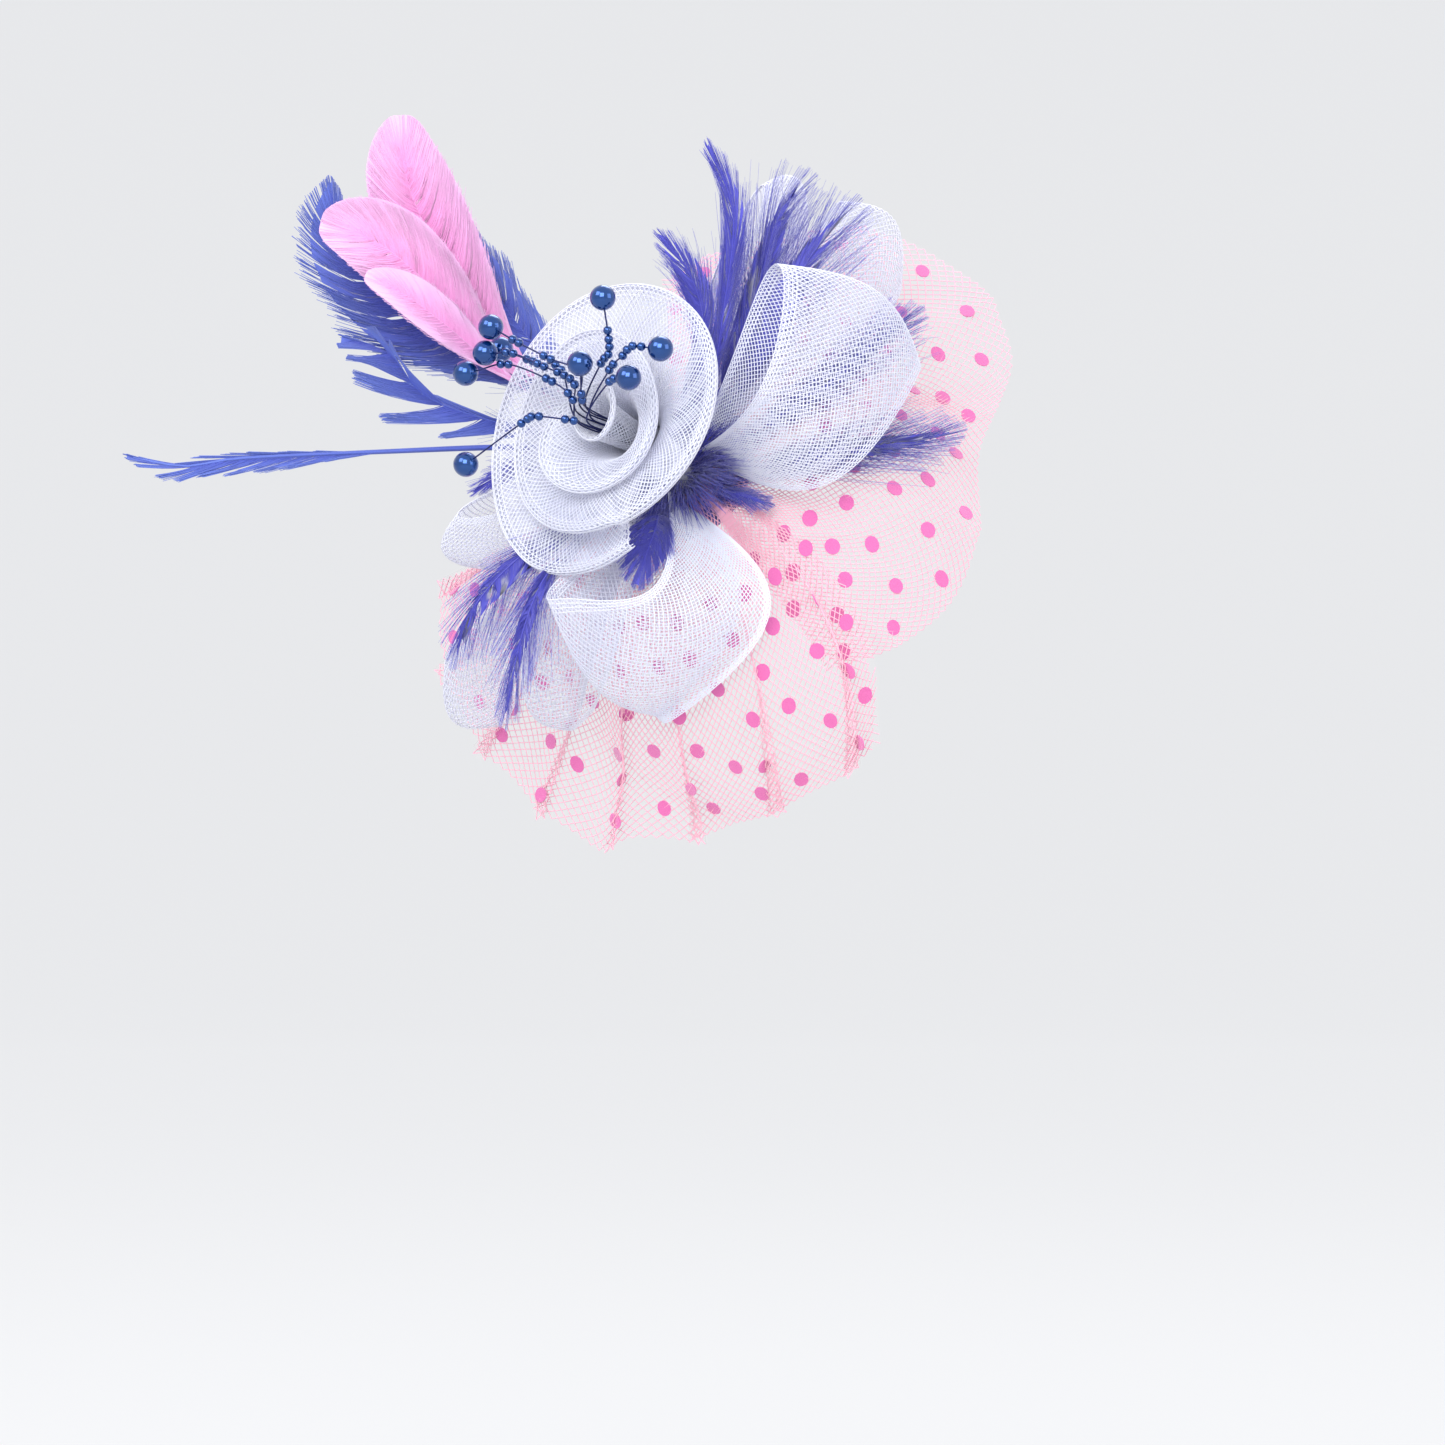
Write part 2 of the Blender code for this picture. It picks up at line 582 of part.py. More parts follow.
add_felt_base()
add_hair_clip()
add_sheet("crin_rose", rose_rows(), CRIN_WALL, "white_crin")
for name, *shape in LOOPS:
    add_sheet(name, loop_rows(*shape), CRIN_WALL, "white_crin")
for name, *shape in VEILS:
    add_sheet(name, veil_rows(*shape), NET_WALL, "pink_net")
for name, slot, *shape in FEATHERS:
    add_sheet(name, feather_rows(*shape), VANE_WALL, slot)
for number, (place, pearl, beads) in enumerate(WIRES, 1):
    add_pearl(f"pearl_{number}", pearl)
    add_wire(f"bead_wire_{number}", *wire_points(place, pearl, beads))
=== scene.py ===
import math

import bpy
import numpy as np
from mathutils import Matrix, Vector


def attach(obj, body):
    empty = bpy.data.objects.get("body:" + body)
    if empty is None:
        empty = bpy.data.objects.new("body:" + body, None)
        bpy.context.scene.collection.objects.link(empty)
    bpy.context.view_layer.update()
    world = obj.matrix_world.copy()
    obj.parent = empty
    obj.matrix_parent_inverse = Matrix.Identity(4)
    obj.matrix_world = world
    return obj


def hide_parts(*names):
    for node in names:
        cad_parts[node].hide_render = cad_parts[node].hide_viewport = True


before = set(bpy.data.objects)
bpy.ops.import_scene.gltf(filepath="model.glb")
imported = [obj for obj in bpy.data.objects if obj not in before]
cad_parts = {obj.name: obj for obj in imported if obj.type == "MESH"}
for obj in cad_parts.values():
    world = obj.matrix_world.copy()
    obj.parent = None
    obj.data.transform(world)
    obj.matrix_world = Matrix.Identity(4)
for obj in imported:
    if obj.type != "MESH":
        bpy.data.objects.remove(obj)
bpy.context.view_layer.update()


# The view: a camera level with the hat, a little over two metres in front of it, as in the photograph,
# and a pale paper tent, lit softly from outside, under it and all round it, with wide soft lamps inside.
view_middle = Vector((0.0114, -0.02, -0.0849))
view_half_width = 0.253
view_plane_lead = 0.02
camera_distance = 2.1
camera = bpy.data.objects.new("camera", bpy.data.cameras.new("camera"))
bpy.context.scene.collection.objects.link(camera)
bpy.context.scene.camera = camera
camera.location = view_middle + Vector((0.0, -camera_distance, 0.0))
camera.rotation_euler = (math.pi / 2, 0.0, 0.0)
camera.data.angle = 2 * math.atan(view_half_width / (camera_distance - view_plane_lead))


def surface_object(name, points, faces, coating):
    """A smooth open surface in the scene, with its finish."""
    mesh = bpy.data.meshes.new(name)
    mesh.from_pydata(points, [], faces)
    mesh.shade_smooth()
    mesh.materials.append(coating)
    made = bpy.data.objects.new(name, mesh)
    bpy.context.scene.collection.objects.link(made)
    return made


paper_floor = -0.42
paper_hub = 0.4
paper_radius = 4.0
paper_turn = 1.6
paper_turn_steps = 14
paper_height = 3.2
paper_sides = 72
paper_rows = [(paper_hub, paper_floor), (paper_radius, paper_floor)]
for step in range(1, paper_turn_steps + 1):
    turn = math.pi / 2 * step / paper_turn_steps
    paper_rows.append((paper_radius + paper_turn * math.sin(turn),
                       paper_floor + paper_turn * (1 - math.cos(turn))))
paper_rows.append((paper_radius + paper_turn, paper_height))
paper_points = [(0.0, 0.0, paper_floor)]
for radius, height in paper_rows:
    for side in range(paper_sides):
        around = 2 * math.pi * side / paper_sides
        paper_points.append((radius * math.cos(around), radius * math.sin(around), height))
paper_faces = [(0, 1 + side, 1 + (side + 1) % paper_sides) for side in range(paper_sides)]
for row in range(len(paper_rows) - 1):
    inner = 1 + row * paper_sides
    outer = inner + paper_sides
    for side in range(paper_sides):
        after = (side + 1) % paper_sides
        paper_faces.append((inner + side, outer + side, outer + after, inner + after))
paper_finish = bpy.data.materials.new("pale paper")
paper_finish.use_nodes = True
paper_shader = paper_finish.node_tree.nodes["Principled BSDF"]
paper_shader.inputs["Base Color"].default_value = (0.22, 0.22, 0.223, 1)
paper_shader.inputs["Roughness"].default_value = 0.9
paper_shader.inputs["Emission Color"].default_value = (0.97, 0.98, 1.0, 1)
paper_shader.inputs["Emission Strength"].default_value = 0.6
paper_finish.cycles.emission_sampling = "NONE"
surface_object("paper_sweep", paper_points, paper_faces, paper_finish)

room_light = bpy.data.worlds.new("soft room light")
room_light.use_nodes = True
room_light.node_tree.nodes["Background"].inputs["Color"].default_value = (0.96, 0.97, 1.0, 1)
room_light.node_tree.nodes["Background"].inputs["Strength"].default_value = 0.95
bpy.context.scene.world = room_light
for lamp_name, place, size, power in [
    # name, where it hangs, how wide it is, watts
    ("front soft lamp", (-0.3, -2.0, 0.9), 1.3, 28.0),
    ("left soft lamp", (-1.5, -1.2, 1.3), 1.2, 17.0),
    ("right soft lamp", (1.7, -1.0, 0.5), 1.2, 9.0),
    ("back soft lamp", (0.3, 1.0, 1.4), 1.0, 9.0),
]:
    lamp_data = bpy.data.lights.new(lamp_name, "AREA")
    lamp_data.size = size
    lamp_data.energy = power
    lamp = bpy.data.objects.new(lamp_name, lamp_data)
    lamp.location = place
    lamp.rotation_euler = (Vector((0, 0, 0)) - Vector(place)).to_track_quat("-Z", "Y").to_euler()
    bpy.context.scene.collection.objects.link(lamp)
bpy.context.scene.view_settings.view_transform = "Standard"


# The base: a round of stiff blue felt that everything is sewn to, and under it a plain flat clip of
# rolled steel, sewn on. The felt has short fibres, and the clip the fine lines of rolled strip.
def finish(name, light, dark, grain, roughness, relief=0.0, stretch=(1.0, 1.0, 1.0), **sockets):
    """A material whose colour wanders between two tones in grains of that many to the metre."""
    made = bpy.data.materials.new(name)
    made.use_nodes = True
    nodes, links = made.node_tree.nodes, made.node_tree.links
    shader = nodes["Principled BSDF"]
    place = nodes.new("ShaderNodeTexCoord")
    mapping = nodes.new("ShaderNodeMapping")
    mapping.inputs["Scale"].default_value = stretch
    links.new(place.outputs["Object"], mapping.inputs["Vector"])
    noise = nodes.new("ShaderNodeTexNoise")
    noise.inputs["Scale"].default_value = grain
    noise.inputs["Detail"].default_value = 4.0
    links.new(mapping.outputs["Vector"], noise.inputs["Vector"])
    tone = nodes.new("ShaderNodeMix")
    tone.data_type = "RGBA"
    tone.inputs["A"].default_value = (*dark, 1)
    tone.inputs["B"].default_value = (*light, 1)
    links.new(noise.outputs["Fac"], tone.inputs["Factor"])
    links.new(tone.outputs["Result"], shader.inputs["Base Color"])
    shader.inputs["Roughness"].default_value = roughness
    if relief:
        bump = nodes.new("ShaderNodeBump")
        bump.inputs["Distance"].default_value = relief
        links.new(noise.outputs["Fac"], bump.inputs["Height"])
        links.new(bump.outputs["Normal"], shader.inputs["Normal"])
    for socket, value in sockets.items():
        shader.inputs[socket.replace("_", " ")].default_value = value
    return made


felt_finish = finish(
    "blue felt", light=(0.05, 0.06, 0.4), dark=(0.02, 0.025, 0.2),
    grain=900.0, roughness=0.95, relief=0.0004, Sheen_Weight=0.5,
)
steel_finish = finish(
    "clip steel", light=(0.7, 0.7, 0.72), dark=(0.5, 0.5, 0.53),
    grain=400.0, roughness=0.32, relief=0.00005, stretch=(1, 12, 12), Metallic=1.0,
)
for node, node_finish in (("felt_base", felt_finish), ("hair_clip", steel_finish)):
    for material_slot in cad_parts[node].material_slots:
        material_slot.material = node_finish


# The net: two tiers of soft pink tulle with diamond meshes and a raw zigzag edge, gathered at the base
# and draped in soft pleats as over a ball, with flocked oval dots in staggered rows.
MM = 0.001
DRAPE_RADIUS = 95.0
UPPER_NET_LEVEL = 3.8
LOWER_NET_LEVEL = 5.1
NET_FLAT = 25.0
NET_FLAT_SHARES = (0.3, 0.5, 0.7, 0.9)
NET_BOW_SHARE = 0.3
NET_SPOKES = 240
NET_LANES = 40
NET_EVEN_LANE = 30
NET_RIPPLE = 0.12
NET_RIPPLES_PER_PLEAT = 2.7
NET_RIPPLE_START = 1.0
NET_SWAY = 0.6
NET_SWAY_PITCH = 5
NET_FOLD_EASE = 0.7
NET_DRAPE_RUN = 0.5
NET_PUSH_RUN = 0.2
NET_THREAD = 0.00021
NET_THREAD_STEPS = 34
THREAD_SIDES = 3
CURVE_SAMPLES = 16


def unit(vector):
    vector = np.asarray(vector, float)
    return vector / np.linalg.norm(vector)


OUT = unit((-0.45, -0.75, 0.48))
UP_SLOPE = unit(np.cross(OUT, (1.0, 0.0, 0.0)))
ACROSS = np.cross(UP_SLOPE, OUT)
DRAPE_MIDDLE = -DRAPE_RADIUS * OUT


def base_point(angle, radius, level):
    """A point over the base, in millimetres: turned round its axis, and raised off its underside."""
    turn = math.radians(angle)
    return radius * (math.cos(turn) * ACROSS + math.sin(turn) * UP_SLOPE) + level * OUT


def through(points, steps):
    """Evenly spaced points on a smooth curve through the given ones."""
    points = np.asarray(points, float)
    ends = np.vstack([2 * points[0] - points[1], points, 2 * points[-1] - points[-2]])
    fine = []
    for i in range(len(points) - 1):
        before, start, end, after = ends[i : i + 4]
        for t in np.linspace(0, 1, CURVE_SAMPLES, endpoint=False):
            fine.append(
                0.5 * (2 * start + (end - before) * t
                       + (2 * before - 5 * start + 4 * end - after) * t**2
                       + (3 * start - before - 3 * end + after) * t**3)
            )
    fine.append(points[-1])
    fine = np.array(fine)
    length = np.concatenate([[0], np.cumsum(np.linalg.norm(np.diff(fine, axis=0), axis=1))])
    wanted = np.linspace(0, length[-1], steps + 1)
    return np.stack([np.interp(wanted, length, fine[:, k]) for k in range(3)], axis=1)


def net_surface(edge, first_angle, last_angle, level, drape, pleats, pleat_depth, first_bow, fold):
    """One tier as rows of points: flat over the base, then draped in soft pleats that double over
    sideways by the fold's share."""
    shares = np.linspace(0, 1, NET_SPOKES + 1)
    ends = through(edge, NET_SPOKES)
    rows = []
    for share in shares:
        phase = 2 * math.pi * pleats * share
        wave = (1 - math.cos(phase)) / 2
        ripple = NET_RIPPLE * pleat_depth * math.sin(NET_RIPPLES_PER_PLEAT * phase + NET_RIPPLE_START)
        sway = fold * math.sin(phase + NET_SWAY * math.sin(NET_SWAY_PITCH * share))
        angle = first_angle + (last_angle - first_angle) * share
        row = [base_point(angle, NET_FLAT * part, level) for part in NET_FLAT_SHARES]
        for out in np.linspace(0, 1, NET_LANES + 1):
            folded = min(1, max(0, share + sway * out**NET_FOLD_EASE))
            end = np.array([np.interp(folded, shares, ends[:, k]) for k in range(3)])
            flat = base_point(first_angle + (last_angle - first_angle) * folded, NET_FLAT, level)
            bow = math.sin(math.pi * out) * max(0, 1 - folded / NET_BOW_SHARE)
            point = flat + (end - flat) * out + np.array(first_bow) * bow
            radial = point - DRAPE_MIDDLE
            distance = np.linalg.norm(radial)
            least = DRAPE_RADIUS + level + (drape - level) * min(1, out / NET_DRAPE_RUN)
            push = max(0, least - distance) * min(1, out / NET_PUSH_RUN)
            push += (pleat_depth * wave + ripple) * out
            row.append(point + radial / distance * push)
        rows.append(row)
    return np.array(rows) * MM


def evened(grid, lane):
    """The rows respaced so that they lie evenly along one lane of the surface."""
    line = grid[:, lane]
    length = np.concatenate([[0], np.cumsum(np.linalg.norm(np.diff(line, axis=0), axis=1))])
    wanted = np.linspace(0, length[-1], len(grid))
    flat = grid.reshape(len(grid), -1)
    even = np.stack([np.interp(wanted, length, flat[:, k]) for k in range(flat.shape[1])], axis=1)
    return even.reshape(grid.shape)


def spot(grid, along, across):
    """Points on a grid of rows, at shares from 0 to 1 along it and across it."""
    a, b = np.clip(along, 0, 1) * (grid.shape[0] - 1), np.clip(across, 0, 1) * (grid.shape[1] - 1)
    i, j = np.minimum(a.astype(int), grid.shape[0] - 2), np.minimum(b.astype(int), grid.shape[1] - 2)
    fa, fb = (a - i)[..., None], (b - j)[..., None]
    near = grid[i, j] * (1 - fb) + grid[i, j + 1] * fb
    far = grid[i + 1, j] * (1 - fb) + grid[i + 1, j + 1] * fb
    return near * (1 - fa) + far * fa


def woven(grid, along, across, steps):
    """Threads that cross a surface both ways on the slant, for that many meshes along it and across it."""
    lines = []
    climb = np.linspace(0, 1, steps + 1)
    for lean, first, last in ((1, -across, along), (-1, 0, along + across)):
        for k in range(first, last + 1):
            run = (k + lean * across * climb) / along
            inside = (run > -1e-9) & (run < 1 + 1e-9)
            if inside.sum() > 1:
                lines.append(spot(grid, run[inside], climb[inside]))
    return lines


def start_tree(name, output, inputs):
    """A Geometry Nodes tree with its group nodes, and its inputs' identifiers in the order given."""
    tree = bpy.data.node_groups.new(name, "GeometryNodeTree")
    identifiers = []
    for label, kind, least in inputs:
        made = tree.interface.new_socket(label, in_out="INPUT", socket_type="NodeSocket" + kind)
        if least is not None:
            made.min_value = least
        identifiers.append(made.identifier)
    tree.interface.new_socket(output, in_out="OUTPUT", socket_type="NodeSocketGeometry")
    return tree, tree.nodes.new("NodeGroupInput"), tree.nodes.new("NodeGroupOutput"), identifiers


def end_tree(tree, given, result, geometry):
    """Makes the geometry real, coats it with the finish that the tree is given, and hands it out."""
    real = tree.nodes.new("GeometryNodeRealizeInstances")
    coat = tree.nodes.new("GeometryNodeSetMaterial")
    tree.links.new(geometry, real.inputs["Geometry"])
    tree.links.new(real.outputs["Geometry"], coat.inputs["Geometry"])
    tree.links.new(given.outputs["Finish"], coat.inputs["Material"])
    tree.links.new(coat.outputs["Geometry"], result.inputs[0])


strands, given, result, identifiers = start_tree("strand tubes", "Tubes", [
    # input, kind of socket, least value
    ("Lines", "Geometry", None),
    ("Strand radius", "Float", 0.0),
    ("Strand sides", "Int", 3),
    ("Finish", "Material", None),
])
strand_radius, strand_sides, strand_finish = identifiers[1:]
to_curve = strands.nodes.new("GeometryNodeMeshToCurve")
thickness = strands.nodes.new("GeometryNodeInputNamedAttribute")
thickness.data_type = "FLOAT"
thickness.inputs["Name"].default_value = "thickness"
ring = strands.nodes.new("GeometryNodeCurvePrimitiveCircle")
to_tube = strands.nodes.new("GeometryNodeCurveToMesh")
to_tube.inputs["Fill Caps"].default_value = True
wire_up = strands.links.new
wire_up(given.outputs["Lines"], to_curve.inputs["Mesh"])
wire_up(given.outputs["Strand sides"], ring.inputs["Resolution"])
wire_up(given.outputs["Strand radius"], ring.inputs["Radius"])
wire_up(to_curve.outputs["Curve"], to_tube.inputs["Curve"])
wire_up(ring.outputs["Curve"], to_tube.inputs["Profile Curve"])
wire_up(thickness.outputs["Attribute"], to_tube.inputs["Scale"])
end_tree(strands, given, result, to_tube.outputs["Mesh"])


def grown(name, mesh, tree, settings):
    """The plain mesh that a tree makes from a mesh, as a piece of the hat."""
    seed = bpy.data.objects.new(name + "_seed", mesh)
    bpy.context.scene.collection.objects.link(seed)
    grower = seed.modifiers.new("grow", "NODES")
    grower.node_group = tree
    for identifier, value in settings.items():
        grower[identifier] = value
    bpy.context.view_layer.update()
    made = bpy.data.meshes.new_from_object(seed.evaluated_get(bpy.context.evaluated_depsgraph_get()))
    bpy.data.objects.remove(seed)
    made.name = name
    piece = bpy.data.objects.new(name, made)
    bpy.context.scene.collection.objects.link(piece)
    return piece


def seated(piece, slot, *nodes):
    """The piece, held by the hat's one body, with the nodes that it stands for; its slot is not used."""
    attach(piece, "root")
    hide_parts(*nodes)
    return piece


def strand_piece(name, lines, radius, sides, coating, thicknesses=None):
    """Tubes along lines of points, thinned or thickened by a share at each point."""
    counts = np.array([len(line) for line in lines])
    starts = np.concatenate([[0], np.cumsum(counts)[:-1]])
    points = np.concatenate(lines)
    joined = np.ones(len(points), bool)
    joined[starts + counts - 1] = False
    first = np.flatnonzero(joined)
    mesh = bpy.data.meshes.new(name + "_lines")
    mesh.vertices.add(len(points))
    mesh.vertices.foreach_set("co", points.astype(np.float32).ravel())
    mesh.edges.add(len(first))
    mesh.edges.foreach_set("vertices", np.stack([first, first + 1], axis=1).astype(np.int32).ravel())
    share = np.ones(len(points)) if thicknesses is None else np.concatenate(thicknesses)
    mesh.attributes.new("thickness", "FLOAT", "POINT").data.foreach_set("value", share.astype(np.float32))
    along = np.concatenate([np.linspace(0, 1, count) for count in counts])
    mesh.attributes.new("along", "FLOAT", "POINT").data.foreach_set("value", along.astype(np.float32))
    mesh.update()
    settings = {strand_radius: radius, strand_sides: sides, strand_finish: coating}
    return grown(name, mesh, strands, settings)


def grid_faces(rows, lanes, first=0):
    """The faces between rows of points that are listed row by row, from that place in the list on."""
    index = first + np.arange(rows * lanes).reshape(rows, lanes)
    faces = np.stack([index[:-1, :-1], index[:-1, 1:], index[1:, 1:], index[1:, :-1]], axis=-1)
    return faces.reshape(-1, 4).tolist()


def film_piece(name, grid, coating):
    """A single open surface through every second row and lane of a grid."""
    grid = grid[::2, ::2]
    return surface_object(name, grid.reshape(-1, 3).tolist(), grid_faces(*grid.shape[:2]), coating)


DOT_RADIUS = 0.0028
DOT_DEPTH = 0.00045
DOT_SIDES = 14
DOT_FIRST_ROW = 0.3
DOT_ROWS_SPAN = 0.68
DOT_DRIFT_ALONG = 0.12
DOT_DRIFT_ACROSS = 0.15
DOT_PROBE = 0.004
DOT_STRETCH_SEED = 7
DOT_SCATTER_SEED = 11
dots, given, result, identifiers = start_tree("flocked dots", "Dots", [
    # input, kind of socket, least value
    ("Places", "Geometry", None),
    ("Dot radius", "Float", 0.0),
    ("Dot depth", "Float", 0.0),
    ("Dot sides", "Int", 3),
    ("Finish", "Material", None),
])
dot_radius, dot_depth, dot_sides, dot_finish = identifiers[1:]
disc = dots.nodes.new("GeometryNodeMeshCylinder")
facing = dots.nodes.new("GeometryNodeInputNamedAttribute")
facing.data_type = "FLOAT_VECTOR"
facing.inputs["Name"].default_value = "facing"
turn_up = dots.nodes.new("FunctionNodeAlignRotationToVector")
turn_up.axis = "Z"
stretch = dots.nodes.new("FunctionNodeRandomValue")
stretch.data_type = "FLOAT_VECTOR"
stretch.inputs["Seed"].default_value = DOT_STRETCH_SEED
stretch.inputs["Min"].default_value = (0.85, 1.0, 1.0)
stretch.inputs["Max"].default_value = (1.0, 1.2, 1.0)
scatter = dots.nodes.new("GeometryNodeInstanceOnPoints")
wire_up = dots.links.new
wire_up(given.outputs["Places"], scatter.inputs["Points"])
wire_up(given.outputs["Dot radius"], disc.inputs["Radius"])
wire_up(given.outputs["Dot depth"], disc.inputs["Depth"])
wire_up(given.outputs["Dot sides"], disc.inputs["Vertices"])
wire_up(disc.outputs["Mesh"], scatter.inputs["Instance"])
wire_up(facing.outputs["Attribute"], turn_up.inputs["Vector"])
wire_up(turn_up.outputs["Rotation"], scatter.inputs["Rotation"])
wire_up(stretch.outputs["Value"], scatter.inputs["Scale"])
end_tree(dots, given, result, scatter.outputs["Instances"])


def dot_piece(name, grid, columns, lanes, rng, coating):
    """Dots in staggered rows on a surface, each a little off its place, as flocking comes out."""
    places, normals = [], []
    for row in range(lanes):
        for column in range(columns):
            drift = rng.uniform(-DOT_DRIFT_ALONG, DOT_DRIFT_ALONG)
            along = (column + 0.25 + 0.5 * (row % 2) + drift) / columns
            drift = rng.uniform(-DOT_DRIFT_ACROSS, DOT_DRIFT_ACROSS)
            across = DOT_FIRST_ROW + DOT_ROWS_SPAN * (row + 0.5 + drift) / lanes
            u = np.array([along, along + DOT_PROBE, along])
            v = np.array([across, across, across + DOT_PROBE])
            here, ahead, beside = spot(grid, u, v)
            places.append(here)
            normals.append(unit(np.cross(ahead - here, beside - here)))
    mesh = bpy.data.meshes.new(name + "_places")
    mesh.from_pydata([tuple(place) for place in places], [], [])
    facing_data = mesh.attributes.new("facing", "FLOAT_VECTOR", "POINT").data
    facing_data.foreach_set("vector", np.array(normals, np.float32).ravel())
    settings = {dot_radius: DOT_RADIUS, dot_depth: DOT_DEPTH, dot_sides: DOT_SIDES, dot_finish: coating}
    return grown(name, mesh, dots, settings)


UPPER_NET_EDGE = [
    # x, y, z of the outer end of a spoke, in millimetres
    (48, -24, -66),
    (70, -20, -58),
    (92, -14, -42),
    (100, -4, -20),
    (103, 10, 8),
    (108, 26, 24),
    (117, 46, 46),
    (110, 60, 68),
    (92, 70, 86),
    (66, 74, 96),
    (40, 74, 96),
    (14, 70, 88),
    (-14, 60, 76),
]
LOWER_NET_EDGE = [
    # x, y, z of the outer end of a spoke, in millimetres
    (67, -24, -92),
    (54, -14, -102),
    (37, -6, -111),
    (19, 2, -119),
    (3, 8, -126),
    (-21, 16, -126),
    (-34, 24, -130),
    (-56, 36, -114),
    (-74, 50, -96),
    (-88, 62, -72),
    (-92, 72, -48),
    (-86, 78, -24),
]
TIERS = [
    # node, edge, first angle, last angle, level, drape, pleats, pleat depth, first bow, fold,
    # meshes along, meshes across, dots along, dots across, flat size, flat area
    ("veil_upper", UPPER_NET_EDGE, -58, 104, UPPER_NET_LEVEL, 5.5, 6, 2.5, (0, 0, 0), 0.02,
     92, 36, 12, 5, (0.336, 0.12), 0.0198),
    ("veil_lower", LOWER_NET_EDGE, -32, -200, LOWER_NET_LEVEL, 9.5, 8, 5.0, (15, -5, 6), 0.042,
     96, 38, 11, 6, (0.394, 0.13), 0.0247),
]
net_thread = finish(
    "pink net thread", light=(1.0, 0.56, 0.68), dark=(0.95, 0.46, 0.6),
    grain=60.0, roughness=0.6, Sheen_Weight=0.3,
)
net_film = finish(
    "pink net haze", light=(1.0, 0.88, 0.88), dark=(0.99, 0.8, 0.82),
    grain=40.0, roughness=0.7, Alpha=0.035,
)
dot_flock = finish(
    "pink flock", light=(0.8, 0.18, 0.47), dark=(0.66, 0.1, 0.35),
    grain=2500.0, roughness=0.95, relief=0.0003, Sheen_Weight=0.8,
)
dot_scatter = np.random.default_rng(DOT_SCATTER_SEED)
for node, *shape, meshes_along, meshes_across, dots_along, dots_across, flat_size, flat_area in TIERS:
    net_grid = evened(net_surface(*shape), NET_EVEN_LANE)
    net_lines = woven(net_grid, meshes_along, meshes_across, NET_THREAD_STEPS)
    threads = strand_piece(node + "_threads", net_lines, NET_THREAD, THREAD_SIDES, net_thread)
    spots = dot_piece(node + "_dots", net_grid, dots_along, dots_across, dot_scatter, dot_flock)
    sheet = film_piece(node + "_net", net_grid, net_film)
    for piece in (threads, spots, sheet):
        seated(piece, "pink_net", node)


# The crin loops: flat tubes of stiff white crin, folded into loops on edge round the middle, wide open
# in front on the right and below, with a close-woven selvedge along both edges.
LOOP_ROWS = 96
LOOP_LANES = 24
LOOP_EVEN_LANE = 8
LOOP_ROOT_RADIUS = 10.5
LOOP_ROOT_HEIGHT = 8.0
LOOP_ROOT_GAP = 2.0
LOOP_BEND = 0.6
LOOP_CUP = 3.0
LOOP_CROWN = 13.0
LOOP_ROOT_RAISE = 0.2
LOOP_LIFT = 2.5
LOOP_LIFT_RUN = 0.25
LOOP_SPREAD_PEAK = 0.77
LOOP_SELVEDGES = (0.0, 0.02, 0.04, 0.06, 0.94, 0.96, 0.98, 1.0)
LOOP_SELVEDGE_POINTS = 61
CRIN_THREAD = 0.0002
NET_RISE = 5.0
NET_RISE_RUN = 50.0
ON_FELT = 3.3
ON_UPPER_NET = 4.6
ON_LOWER_NET = 5.9
LOWER_NET_ANGLES = (-200, -32)
LOOPS = [
    # node, root angle, near tip, far tip, near bow, far bow,
    # near gap, far gap, front sag, meshes along, meshes across, flat size
    ("crin_loop_right", 26, (32, -46, 74), (82, -8, 42), (3, -8, -2), (3, -24, -24),
     30, 8, (0, 0, -3), 98, 28, (0.058, 0.202)),
    ("crin_loop_lower", -104, (-48, -44, -42), (-6, -14, -83), (4, -8, 0), (30, -18, 2),
     30, 14, (4, 0, -15), 88, 26, (0.055, 0.19)),
    ("crin_loop_lower_left", -131, (-59, -24, -50), (-43, 4, -88), (4, -2, -2), (4, -2, -8),
     9, 7, (0, 0, 0), 78, 18, (0.032, 0.178)),
    ("crin_loop_far_left", -155, (-88, 6, -64), (-68, 30, -86), (-4, 0, 8), (-8, 2, 0),
     8, 7, (0, 0, 0), 94, 16, (0.028, 0.224)),
    ("crin_loop_back_left", 178, (-84, 18, -10), (-74, 40, -28), (0, -2, 2), (0, 2, -6),
     12, 10, (0, 0, 0), 78, 14, (0.026, 0.174)),
    ("crin_loop_top", 58, (54, 8, 102), (76, 32, 72), (3, 0, 2), (4, -4, -4),
     11, 9, (0, 0, 0), 98, 18, (0.03, 0.223)),
    ("crin_loop_top_back", 85, (26, 10, 108), (42, 38, 92), (-3, 2, 0), (-5, -2, 0),
     9, 8, (0, 0, 0), 96, 16, (0.026, 0.215)),
]


def clear_of_net(point, bed):
    """The point moved outwards until it lies over the net, whose flat middle is at the bed's level."""
    out = point @ OUT
    from_axis = np.linalg.norm(point - out * OUT)
    if from_axis < NET_FLAT:
        return point + OUT * max(0, bed - out)
    radial = point - DRAPE_MIDDLE
    distance = np.linalg.norm(radial)
    flat_edge = math.hypot(DRAPE_RADIUS + bed, NET_FLAT)
    least = flat_edge + NET_RISE * min(1, (from_axis - NET_FLAT) / NET_RISE_RUN)
    return point + radial / distance * max(0, least - distance)


